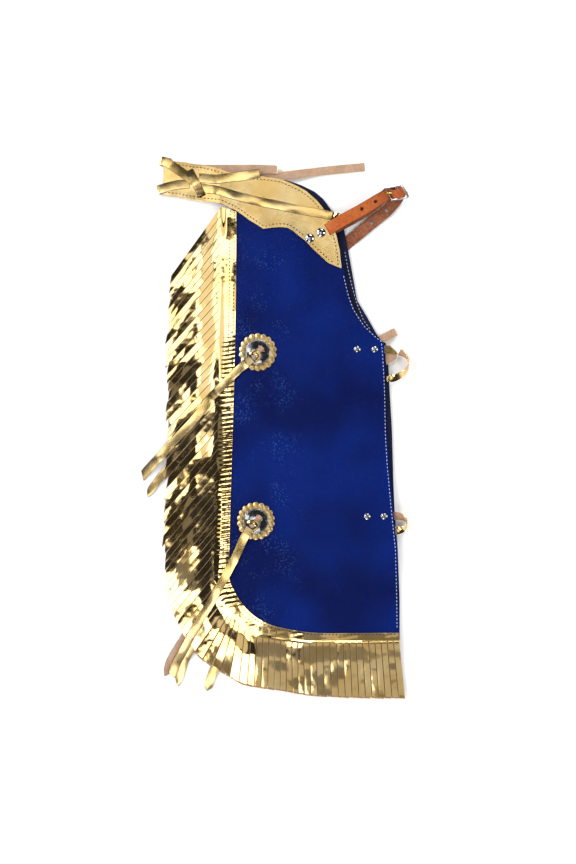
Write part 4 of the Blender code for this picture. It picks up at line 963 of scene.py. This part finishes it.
def rounded_frame(half_long, half_wide, corner, turns=8):
    """A rectangle with round corners, as points along and across from its middle."""
    a = np.linspace(0.0, 0.5 * pi, turns)
    arcs = [np.stack([sx * (half_long - corner) + corner * np.cos(a + k * 0.5 * pi),
                      sy * (half_wide - corner) + corner * np.sin(a + k * 0.5 * pi)], axis=-1)
            for k, (sx, sy) in enumerate(((1, 1), (-1, 1), (-1, -1), (1, -1)))]
    return np.concatenate(arcs)


def join_parts(parts):
    """Points and faces of several closed parts as one list each."""
    points, faces, count = [], [], 0
    for some, more in parts:
        points.append(some)
        faces += [[k + count for k in face] for face in more]
        count += len(some)
    return np.concatenate(points), faces


outline = rounded_frame(0.5 * (buckle_length - BUCKLE_BAR), 0.5 * (buckle_width - BUCKLE_BAR), 2.4)
loop = in_buckle(outline[:, 0] + 0.5 * buckle_length, outline[:, 1] + CENTRE, 0 * outline[:, 0])
ahead = unit(np.roll(loop, -1, axis=0) - np.roll(loop, 1, axis=0))
up = np.repeat(ABOVE[None], len(loop), axis=0)
frame_bar = bar_along(loop, np.cross(ahead, up), up, 0.5 * BUCKLE_BAR, 0.5 * BUCKLE_WALL, True)
reach = np.linspace(BUCKLE_BAR, buckle_width - BUCKLE_BAR, 9)
middle_path = in_buckle(0 * reach + 0.5 * buckle_length, reach, 0 * reach)
middle_bar = bar_along(middle_path, np.repeat(ALONG[None], 9, axis=0),
                       np.repeat(ABOVE[None], 9, axis=0), 1.3, 1.3, False)
buckle = put_mesh("cast_buckle", *join_parts([frame_bar, middle_bar]), [nickel])
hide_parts("buckle_frame")

t = np.linspace(0.0, 1.0, 15)
tongue_path = in_buckle(10.6 - 11.6 * t, 0 * t + CENTRE - 4.0,
                        0.5 * BUCKLE_WALL + SEAM + 0.9 + 0.5 * np.sin(pi * t))
size = np.sqrt(np.clip(1.0 - (2.0 * t - 1.0) ** 8, 0.02, 1.0))[:, None] * (1.0 - 0.3 * t[:, None])
tongue_points, tongue_faces = bar_along(tongue_path, -ACROSS * size, ABOVE * size, 1.7, 0.9, False)
tongue = put_mesh("cast_tongue", tongue_points, tongue_faces, [brass])
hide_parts("buckle_tongue")
print("buckle", round(buckle_length, 1), "by", round(buckle_width, 1), "mm")

# %% [markdown]
# ## Leg straps, studs and rivets
# Each leg strap is a gold strip riveted to the leg, which goes round the wearer's leg. The upper one
# is folded over itself at the leg's edge, so its fold is made as two flat layers, one over the
# other.
# Studs and rivets are turned: a profile from the top of the dome to its underside, carried round.

# %% Leg straps
RIVETS = [(132, 125.5), (160, 125.5), (148, -142), (175, -141.5)]
TAB = [(169, 141, "lower", 0.0), (177, 145, "lower", 0.0), (194, 154, "floor", 1.6)]
FOLD_TOP = [(122, 119), (197, 119), (184, 132), (122, 132)]
FOLD_UNDER = [(197, 119), (194.6, 111), (179, 100.3), (177.4, 108), (177.4, 125), (184, 132)]
UPPER_LOOP = [(199.6, 121.5, 5.2, 80, 32, 1.2), (207.5, 117, 6.4, 50, 60, 1.2),
              (213, 109.5, 7.2, 22, 84, 1.2), (214.3, 101.5, 7.3, -4, 96, 1.2),
              (211, 93, 6.9, -34, 112, 1.2), (203, 85.5, 6.2, -56, 130, 1.2),
              (193.5, 80.5, 6.4, -76, 145, 1.2), (185, 78.8, 6.2, -84, 162, 1.2),
              (179, 78.6, 5.6, -88, 172, 1.2)]
LOWER_LOOP_START = [(140, -141, 4.4, 90, 0, 1.2), (184, -141, 4.4, 90, 0, 1.2)]
LOWER_LOOP = [(193, -141, 4.8, 88, 8, 1.2), (201, -142, 6.0, 74, 32, 1.2),
              (208, -146, 7.0, 40, 66, 1.2), (211, -152, 7.2, 0, 90, 1.2),
              (209, -158.5, 6.8, -40, 114, 1.2), (202.5, -163, 5.6, -74, 148, 1.2),
              (195, -164.5, 4.8, -88, 172, 1.2)]
LOWER_LOOP_END = [(180, -165, 4.4, -90, 180, 1.2)]
LEG_STRAP_WALL, LEG_STRAP_WIDTH = 1.2, 13.0


def flat_piece(name, outline, low, high, face, flesh, rim=0.3):
    """A flat piece cut to an outline: every ring is the outline drawn towards its middle, and the
    inmost ring, drawn in to a fiftieth, is left open as a small hole."""
    outline = np.array(outline, float)
    if np.cross(outline[1] - outline[0], outline[2] - outline[1]) < 0:
        outline = outline[::-1]
    middle = outline.mean(axis=0)
    count, share = len(outline), np.array([1.0, 0.8, 0.5, 0.02])
    plan = middle + (outline - middle)[None] * share[:, None, None]
    flat = np.concatenate([plan.reshape(-1, 2), np.zeros((4 * count, 1))], axis=1)
    at = np.arange(4 * count).reshape(4, count)
    faces = np.stack([at[:-1], np.roll(at, -1, axis=1)[:-1], np.roll(at, -1, axis=1)[1:], at[1:]],
                     axis=-1).reshape(-1, 4)
    return close_leather(name, flat + [0, 0, high], flat + [0, 0, low], faces, face, flesh, rim)


low = LOWER_TOP + SEAM
mid = low + LEG_STRAP_WALL + SEAM
fold_top = flat_piece("cut_leg_strap_fold", FOLD_TOP, mid, mid + LEG_STRAP_WALL, lace_gold,
                      natural_flesh, 0.58)
fold_under = flat_piece("cut_leg_strap_under", FOLD_UNDER, low, low + LEG_STRAP_WALL,
                        natural_flesh, lace_gold)
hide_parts("leg_strap_upper_fold")
leg_tab = strip_along("cut_leg_strap_tab", laid_rows(TAB, LEG_STRAP_WALL + 0.6), 13.0,
                      natural_flesh, lace_gold)
upper_loop = strip_along("cut_upper_leg_loop", thread_curve(UPPER_LOOP, 8), LEG_STRAP_WIDTH,
                         natural_flesh, lace_gold, end=0.6, cells=8)
lower_rows = np.concatenate([LOWER_LOOP_START, thread_curve(LOWER_LOOP, 8), LOWER_LOOP_END])
lower_loop = strip_along("cut_lower_leg_loop", lower_rows, LEG_STRAP_WIDTH, natural_flesh,
                         lace_gold, cells=8)
for piece, node in ((leg_tab, "leg_strap_upper_tab"), (upper_loop, "leg_strap_upper_loop"),
                    (lower_loop, "leg_strap_lower_loop")):
    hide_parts(node)
print("leg straps made")

# %% Studs and rivets
def turned(centre, base, profile, segments, swell=None):
    """Points and faces of a turned solid. The profile's rows are radius and height, and both its
    ends lie on the axis. swell(radius, angle) may change the radius with the angle."""
    radius, height = np.array(profile, float).T
    a = np.linspace(0.0, 2 * pi, segments, endpoint=False)
    r = np.repeat(radius[1:-1, None], segments, axis=1)
    if swell is not None:
        r = swell(r, a[None])
    rings = np.stack([centre[0] + r * np.cos(a), centre[1] + r * np.sin(a),
                      base + height[1:-1, None] + 0 * r], axis=-1).reshape(-1, 3)
    ends = [(*centre, base + height[0]), (*centre, base + height[-1])]
    at = np.arange(len(rings)).reshape(-1, segments)
    after = np.roll(at, -1, axis=1)
    sides = np.stack([at[:-1], at[1:], after[1:], after[:-1]], axis=-1).reshape(-1, 4).tolist()
    first, last = len(rings), len(rings) + 1
    fans = np.stack([at[0], after[0], 0 * at[0] + first], axis=-1).tolist()
    fans += np.stack([after[-1], at[-1], 0 * at[0] + last], axis=-1).tolist()
    return np.concatenate([rings, ends]), sides + fans


def dome_profile(radius, height, collar):
    """A quarter ellipse from the top, a small step down to a flat collar, and the underside."""
    t = np.linspace(0.0, 0.5 * pi, 9)
    inner = radius - collar
    dome = np.stack([inner * np.sin(t), 0.35 * height + 0.65 * height * np.cos(t)], axis=-1)
    foot = [(inner + 0.3 * collar, 0.28 * height), (radius - 0.15, 0.25 * height),
            (radius, 0.16 * height), (radius, 0.0), (0.0, 0.0)]
    return np.concatenate([dome, foot])


STUDS = [(56, 303), (74, 312)]
for number, at in enumerate(STUDS, 1):
    stud = put_mesh(f"turned_yoke_stud_{number}",
                    *turned(at, float(gold_top(*at)) + SEAM, dome_profile(7.5, 3.6, 1.6), 40),
                    [nickel])
    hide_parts(f"yoke_stud_{number}")
for number, at in enumerate(RIVETS, 1):
    rivet = put_mesh(f"turned_strap_rivet_{number}",
                     *turned(at, float(leg_top(*at)) + SEAM, dome_profile(5.0, 2.4, 1.0), 32),
                     [worn_nickel])
    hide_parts(f"strap_rivet_{number}")
print("studs:", len(STUDS), "rivets:", len(RIVETS))

# %% [markdown]
# ## Rosettes and conchos
# A rosette is gold leather stamped out with a scalloped edge, and pressed into puffed petals round
# a flat seat. On it sits a slotted silver concho, a shallow pressed dome, and a string is drawn up
# through one slot and down over the other. Both discs are polar grids: radius runs one way and
# angle the other, and the petals are a wave of the angle.

# %% Polar discs
CONCHOS = {"upper": (-27.0, 121.0), "lower": (-30.0, -149.0)}
ROSETTE_RADIUS, SCALLOPS, SCALLOP_DEPTH = 30.4, 18, 2.6
CONCHO_RADIUS, CONCHO_HEIGHT = 19.8, 4.6
TURN_OVER = [(-13.5, -2.0, 4.6, 100, 0), (-8.0, -1.5, 7.2, 96, 8), (-2.0, -1.0, 8.6, 70, 20),
             (1.5, -5.5, 8.0, 20, 24), (0.5, -11.0, 6.6, -10, 10), (-3.0, -15.5, 5.2, -30, 0)]
CONCHO_KNOT = [(8, 8, 3.2), (4.5, 4.5, 5.0), (0, 0, 6.0), (-4.5, -4.5, 5.2), (-8.4, -8.4, 3.6)]


def polar_disc(name, centre, radii, segments, edge, top, under, face, flesh, dropped=None,
               rim=0.2):
    """A disc with a pinhole in its middle. edge(r, a) gives the drawn radius, top(x, y, r, a) and
    under(x, y, r, a) the two heights; dropped(r, a) says which cells are punched out."""
    a = np.linspace(0.0, 2 * pi, segments, endpoint=False)[None, :]
    r = np.asarray(radii, float)[:, None] + 0 * a
    drawn = edge(r, a + 0 * r)
    x, y = centre[0] + drawn * np.cos(a), centre[1] + drawn * np.sin(a)
    high = np.stack([x, y, top(x, y, r, a)], axis=-1).reshape(-1, 3)
    low = np.stack([x, y, under(x, y, r, a)], axis=-1).reshape(-1, 3)
    at = np.arange(r.size).reshape(r.shape)
    after = np.roll(at, -1, axis=1)
    faces = np.stack([at[:-1], at[1:], after[1:], after[:-1]], axis=-1)
    if dropped is not None:
        middle_r = 0.5 * (r[:-1] + r[1:])
        faces = faces[~dropped(middle_r, a + pi / segments + 0 * middle_r)]
    return close_leather(name, high, low, faces.reshape(-1, 4), face, flesh, rim)


def scalloped(r, a):
    """Radius drawn in between the scallops, more and more over the outer third."""
    share = smooth_step((r / ROSETTE_RADIUS - 0.66) / 0.34)
    return r - SCALLOP_DEPTH * share * (1.0 - abs(np.sin(0.5 * SCALLOPS * a)))


def petal_height(x, y, r, a):
    """Puffed petals: a hump over the outer third, high in the middle of each scallop, with a
    bead pressed round the concho's seat."""
    t = np.clip((r / ROSETTE_RADIUS - 0.68) / 0.32, 0.0, 1.0)
    hump = np.sin(pi * t ** 0.8) * (0.35 + 0.65 * abs(np.sin(0.5 * SCALLOPS * a)))
    bead = 0.35 * np.exp(-((r - 20.8) / 0.8) ** 2)
    return leg_top(x, y) + SEAM + 1.3 + 1.5 * hump + bead


def slot(r, a):
    """True where a concho is slotted, on either side of its middle along the diagonal."""
    turn = np.mod(a - 0.25 * pi + 0.5 * pi, pi) - 0.5 * pi
    return (abs(r - 9.0) < 1.7) & (abs(turn) < radians(38))


def dome_height(base, drop):
    """Parabola of the radius, with a flat pressed rim."""
    def height(x, y, r, a):
        share = r / CONCHO_RADIUS
        flat = smooth_step((share - 0.86) / 0.1)
        lift = CONCHO_HEIGHT * (1.0 - share ** 2) * (1.0 - flat) + 0.75 * flat
        return base + np.maximum(lift - drop, 0.0)
    return height


rosettes = []
for place, (x, y) in CONCHOS.items():
    rosette = polar_disc("stamped_rosette_" + place, (x, y), np.linspace(0.6, ROSETTE_RADIUS, 26),
                         216, scalloped, petal_height,
                         lambda x, y, r, a: leg_top(x, y) + SEAM, rosette_gold, natural_flesh)
    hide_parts("rosette_" + place)
    rosettes.append(rosette)
    base = float(rosette_top(x, y)) + SEAM + CLEAR
    radii = np.concatenate([np.linspace(0.5, 7.3, 8), np.linspace(8.0, 10.7, 4),
                            np.linspace(11.5, CONCHO_RADIUS, 14)])
    concho = polar_disc("pressed_concho_" + place, (x, y), radii, 120, lambda r, a: r,
                        dome_height(base, 0.0), dome_height(base, 0.9), nickel, nickel, slot)
    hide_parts("concho_" + place)
    rows = [(x + dx, y + dy, base + dz + 0.7, -45.0, 0.0, 1.4) for dx, dy, dz in CONCHO_KNOT]
    knot = strip_along("cut_concho_knot_" + place, thread_curve(rows, 8), 8.0, natural_flesh,
                       lace_gold, cup=0.5, cells=8, edge=cut_edge)
    over = [(x + dx, y + dy, base + dz, turn, tilt, 1.2) for dx, dy, dz, turn, tilt in TURN_OVER]
    strip_along("cut_turn_over_" + place, thread_curve(over, 8), 7.0, lace_gold, natural_flesh,
                cup=0.4, cells=8, edge=cut_edge)
    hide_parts("concho_knot_" + place)
print("conchos:", len(CONCHOS))

# %% [markdown]
# ## Stitches
# Sewing on chaps is a row of single machine stitches, each about 3 mm of waxed thread that dips
# into its needle holes. The spacing is measured: one stitch every 5.8 mm. A row is made as one mesh
# of short tapered tubes, worked out together, so that hundreds of stitches stay cheap.

# %% Rows of stitches
STITCH_PITCH = 5.8


def sew(name, line, height, thread, length=3.4, thick=0.55):
    """Tapered tubes along a plan line. For a stitch of half length h, the radius at a distance d
    from its middle is thick * sqrt(1 - (d / h) squared), and its middle sinks by as much as that
    radius shrinks, so both ends dive into the leather."""
    line = np.asarray(line, float)
    gone = distance_along(line)
    middle = (np.arange(int(gone[-1] // STITCH_PITCH)) + 0.5) * STITCH_PITCH
    t = np.array([-0.98, -0.6, 0.0, 0.6, 0.98])
    station = middle[:, None] + 0.5 * length * t[None]
    x, y = (np.interp(station, gone, line[:, k]) for k in (0, 1))
    dx, dy = (np.interp(station + 0.5, gone, line[:, k])
              - np.interp(station - 0.5, gone, line[:, k]) for k in (0, 1))
    side = unit(np.stack([-dy, dx, 0 * dx], axis=-1))
    radius = thick * np.sqrt(1.0 - t ** 2)[None, :] + 0 * x
    z = height(x, y) + 0.8 * radius - 0.35
    a = np.linspace(0.0, 2 * pi, 6, endpoint=False)
    points = (np.stack([x, y, z], axis=-1)[:, :, None]
              + side[:, :, None] * (radius[..., None] * np.cos(a))[..., None]
              + np.array([0, 0, 1.0]) * (radius[..., None] * np.sin(a))[..., None])
    at = np.arange(points.size // 3).reshape(points.shape[:3])
    after = np.roll(at, -1, axis=2)
    tubes = np.stack([at[:, :-1], after[:, :-1], after[:, 1:], at[:, 1:]], axis=-1)
    faces = tubes.reshape(-1, 4).tolist() + at[:, 0, ::-1].tolist() + at[:, -1].tolist()
    piece = put_mesh(name, points.reshape(-1, 3), faces, [thread])
    piece.data.flip_normals()
    return len(middle)


def inset(line, by):
    """The line moved square to itself, to its left by that many millimetres."""
    line = thread_curve(line, 6)
    ahead = unit(np.gradient(line, axis=0))
    return line + np.stack([-ahead[:, 1], ahead[:, 0]], axis=-1) * by


def band_line(share, first, last):
    """A line along the fringe's strip, at a share of its width from the inner edge."""
    marks = np.linspace(COUNT[first], COUNT[last], 220)
    inner = np.stack([read(0, marks), read(1, marks)], axis=-1)
    root = np.stack([read(2, marks), read(3, marks)], axis=-1)
    return inner + (root - inner) * share


def on_gold(x, y):
    return leg_top(x, y) + SEAM + GOLD_WALL


def on_band(x, y):
    return on_gold(x, y) + pucker(x, y)


def on_lower_leg(x, y):
    return LOWER_TOP + 0.0 * x


counts = [sew("sewn_band_inner", band_line(0.14, 0, 11), on_band, dark_thread, 3.0, 0.95),
          sew("sewn_band_outer", band_line(0.40, 0, 11), on_band, dark_thread, 3.0, 0.95),
          sew("sewn_hem_inner", band_line(0.16, 11, 14), on_band, dark_thread, 3.0, 0.95),
          sew("sewn_yoke_top", inset(YOKE[:, :2], -5.0), on_gold, dark_thread, 3.0, 0.95),
          sew("sewn_yoke_low", inset(YOKE[:-1, 2:], 5.0), on_gold, dark_thread, 3.0, 0.95),
          sew("sewn_belt_top", inset(BELT[:, [0, 1]], -5.0), leg_top, dark_thread, 3.0, 0.95),
          sew("sewn_belt_low", inset(BELT[:, [0, 2]], 5.0), leg_top, dark_thread, 3.0, 0.95)]
UPPER_SEAM = [(110, 244), (118, 210), (126, 188.8), (142, 163.8), (160, 146), (170.5, 138),
              (172.5, 119), (175, 75), (176, 46), (177, -10), (180, -61), (186, -127),
              (193, -194), (195, -260), (196, -325)]
LOWER_SEAM = [(112, 283), (117, 255), (124, 226), (131.5, 199.5), (142, 172.6), (154.6, 155)]
counts += [sew("sewn_upper_edge", UPPER_SEAM, leg_top, white_thread, 3.8, 0.55),
           sew("sewn_lower_edge", LOWER_SEAM, on_lower_leg, white_thread, 3.8, 0.55)]
print("stitches:", counts)

# %% [markdown]
# ## Studio
# The pair lies on a white floor under soft light, and the camera looks straight down. A mirror-like
# leather shows only what hangs above it, so the ceiling matters more than the light on the floor:
# ten weak panels with dark gaps between them give the foil its cream, gold and black patches,
# two more hang lower at the left and in front for the slopes that face those ways, and five
# softboxes low at the sides light the floor and the blue leather.

# %% Light panels
def soft_light(name, at, size, power, aim=(0.0, 0.0, 0.0)):
    """A rectangular softbox at a place, turned so that it faces another one."""
    lamp = bpy.data.lights.new(name, "AREA")
    lamp.shape = "RECTANGLE"
    lamp.size, lamp.size_y = size
    lamp.energy = power
    thing = bpy.data.objects.new(name, lamp)
    bpy.context.collection.objects.link(thing)
    thing.location = at
    thing.rotation_euler = (Vector(aim) - Vector(at)).to_track_quat("-Z", "Y").to_euler()
    return thing


def ceiling_panel(name, x, y, width, length, radiance):
    """A panel at 4.2 m that faces down. Its power is radiance * pi * area."""
    return soft_light(name, (x, y, 4.2), (width, length), radiance * pi * width * length,
                      (x, y + 0.0001, 0.0))


ceiling_panel("ceiling over the yoke", 0.42, 0.78, 1.0, 0.62, 1.7)
ceiling_panel("ceiling over the belt", -0.4, 0.86, 0.3, 0.34, 1.9)
ceiling_panel("ceiling over the top strands", -0.5, 0.56, 0.75, 0.42, 2.7)
ceiling_panel("ceiling at the upper left", -1.5, 0.55, 1.1, 1.2, 1.1)
ceiling_panel("ceiling at the left", -0.8, 0.27, 0.45, 0.6, 3.2)
ceiling_panel("ceiling over the corner", -0.42, -0.92, 0.65, 0.7, 3.6)
ceiling_panel("ceiling over the hem", 0.62, -0.95, 1.4, 0.42, 0.55)
ceiling_panel("ceiling in front of the hem", 0.62, -1.6, 1.4, 0.88, 0.24)
ceiling_panel("ceiling behind the hem", 0.62, -0.38, 1.4, 0.7, 0.2)
ceiling_panel("ceiling at the lower left", -1.5, -1.95, 1.4, 1.4, 0.8)
soft_light("high panel at the left", (-2.7, 0.8, 3.2), (1.2, 1.2), 8.0)
soft_light("high panel in front", (0.2, -2.7, 3.2), (1.6, 1.0), 8.0)
soft_light("key softbox", (-2.5, 1.7, 1.6), (1.6, 1.2), 105)
soft_light("back softbox", (0.9, 2.9, 1.4), (1.8, 1.0), 62)
soft_light("right softbox", (2.9, 0.0, 1.35), (1.2, 1.6), 66)
soft_light("front softbox", (-0.6, -2.9, 1.35), (1.8, 0.9), 66)
soft_light("left softbox", (-3.0, -0.6, 1.3), (1.0, 1.6), 40)

world = bpy.data.worlds.new("studio room")
bpy.context.scene.world = world
world.use_nodes = True
room = world.node_tree.nodes["Background"]
room.inputs["Color"].default_value = (1.0, 1.0, 1.0, 1.0)
room.inputs["Strength"].default_value = 0.025
bpy.context.scene.view_settings.view_transform = "Standard"

# %% Floor and camera
floor_mesh = bpy.data.meshes.new("studio floor")
floor_mesh.from_pydata([(-6, -6, 0), (6, -6, 0), (6, 6, 0), (-6, 6, 0)], [], [(0, 1, 2, 3)])
floor_paint, floor_tree = blank_material("paint, matt white")
floor_shader = add_node(floor_tree, "ShaderNodeBsdfPrincipled",
                        {"Base Color": linear("#f7f7f7"), "Roughness": 0.9})
add_node(floor_tree, "ShaderNodeOutputMaterial", Surface=floor_shader)
floor_mesh.materials.append(floor_paint)
floor = bpy.data.objects.new("studio_floor", floor_mesh)
bpy.context.collection.objects.link(floor)

CAMERA_AT = (0.0221, -0.0065, 3.6)
MIDDLE_HEIGHT = 0.006
FRAME_HEIGHT = 1.3824
camera_data = bpy.data.cameras.new("camera from above")
camera_data.sensor_fit = "VERTICAL"
camera_data.sensor_height = 36.0
camera_data.lens = camera_data.sensor_height * (CAMERA_AT[2] - MIDDLE_HEIGHT) / FRAME_HEIGHT
camera = bpy.data.objects.new("camera from above", camera_data)
bpy.context.collection.objects.link(camera)
camera.location = CAMERA_AT
bpy.context.scene.camera = camera
print("camera", CAMERA_AT[2], "m above the floor, lens", round(camera_data.lens, 1), "mm")

# %% [markdown]
# ## Flat cuts
# Each piece of leather was cut flat. The maker's sizes are read off the tables: width and length
# of the rectangle it is cut from, and the area of the cut itself.

def cut_area(piece):
    """Area of the face side of a piece, in square metres, from the faces with the first finish."""
    count = len(piece.data.polygons)
    area, slots = np.empty(count), np.empty(count, np.int32)
    piece.data.polygons.foreach_get("area", area)
    piece.data.polygons.foreach_get("material_index", slots)
    return float(area[slots == 0].sum())


def declare(piece, width, length, held, rests):
    """Face area in square centimetres, at most that of a rectangle of that width and length in mm.
    """
    area = min(cut_area(piece), width * length * MM * MM)
    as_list(rests)
    return round(area * 1e4)


cuts = {}
PANELS = [(leg_upper, 286, 746, "laid", ["leg_lower"]), (leg_lower, 286, 740, "laid", []),
          (yoke_upper, 205, 155, "laid", ["leg_upper"]), (yoke_lower, 172, 110, "laid", []),
          (belt_upper, 120, 62, "laid", ["belt_lower"]), (belt_lower, 120, 62, "laid", []),
          (fringe["fringe_upper_side"], 170, 600, "laid", ["leg_upper"]),
          (fringe["fringe_lower_side"], 173, 600, "laid", []),
          (fringe["fringe_upper_corner"], 140, 190, "laid", ["leg_upper"]),
          (fringe["fringe_lower_corner"], 143, 190, "laid", []),
          (fringe["fringe_upper_hem"], 110, 215, "laid", ["leg_upper"]),
          (fringe["fringe_lower_hem"], 113, 215, "laid", [])]
for piece, width, length, held, rests in PANELS:
    cuts[piece.name] = declare(piece, width, length, held, rests)
print("cut areas in square centimetres:", cuts)

STRIPS = [(made["lace_loop_top"], "folded", ["belt_upper", "belt_lower"]),
          (made["lace_loop_low"], "folded", ["belt_upper", "belt_lower"]),
          (made["lace_knot"], "folded", ["lace_end_short", "lace_end_long"]),
          (made["lace_end_short"], "laid", ["belt_upper", "yoke_upper"]),
          (made["lace_end_long"], "laid", ["belt_upper", "yoke_upper"]),
          (made["lace_tail_short"], "laid", ["belt_lower", "yoke_lower"]),
          (made["lace_tail_long"], "laid", ["yoke_lower"]),
          (made["string_1"], "laid", ["rosette_upper", "fringe_upper_side"]),
          (made["string_2"], "laid", ["rosette_lower", "fringe_upper_side"]),
          (made["string_3"], "laid", ["fringe_lower_side"]),
          (made["string_4"], "laid", ["fringe_lower_side"]),
          (made["string_5"], "laid", ["fringe_lower_side"]),
          (made["string_6"], "laid", ["fringe_lower_corner"]),
          (strap, "folded", ["buckle_frame"]), (chape, "folded", ["buckle_frame"]),
          (leg_tab, "laid", ["leg_lower"]), (upper_loop, "folded", ["leg_upper"]),
          (lower_loop, "folded", ["leg_upper"])]
for piece, held, rests in STRIPS:
    declare(piece, *strip_cuts[piece.name], held, rests)
declare(fold_top, 75, 13, "folded", ["leg_upper"])
declare(fold_under, 20, 32, "folded", ["leg_lower"])
for rosette in rosettes:
    declare(rosette, 2 * ROSETTE_RADIUS, 2 * ROSETTE_RADIUS, "laid", ["leg_upper"])
print("strip lengths in millimetres:", {name: round(cut[1]) for name, cut in strip_cuts.items()})
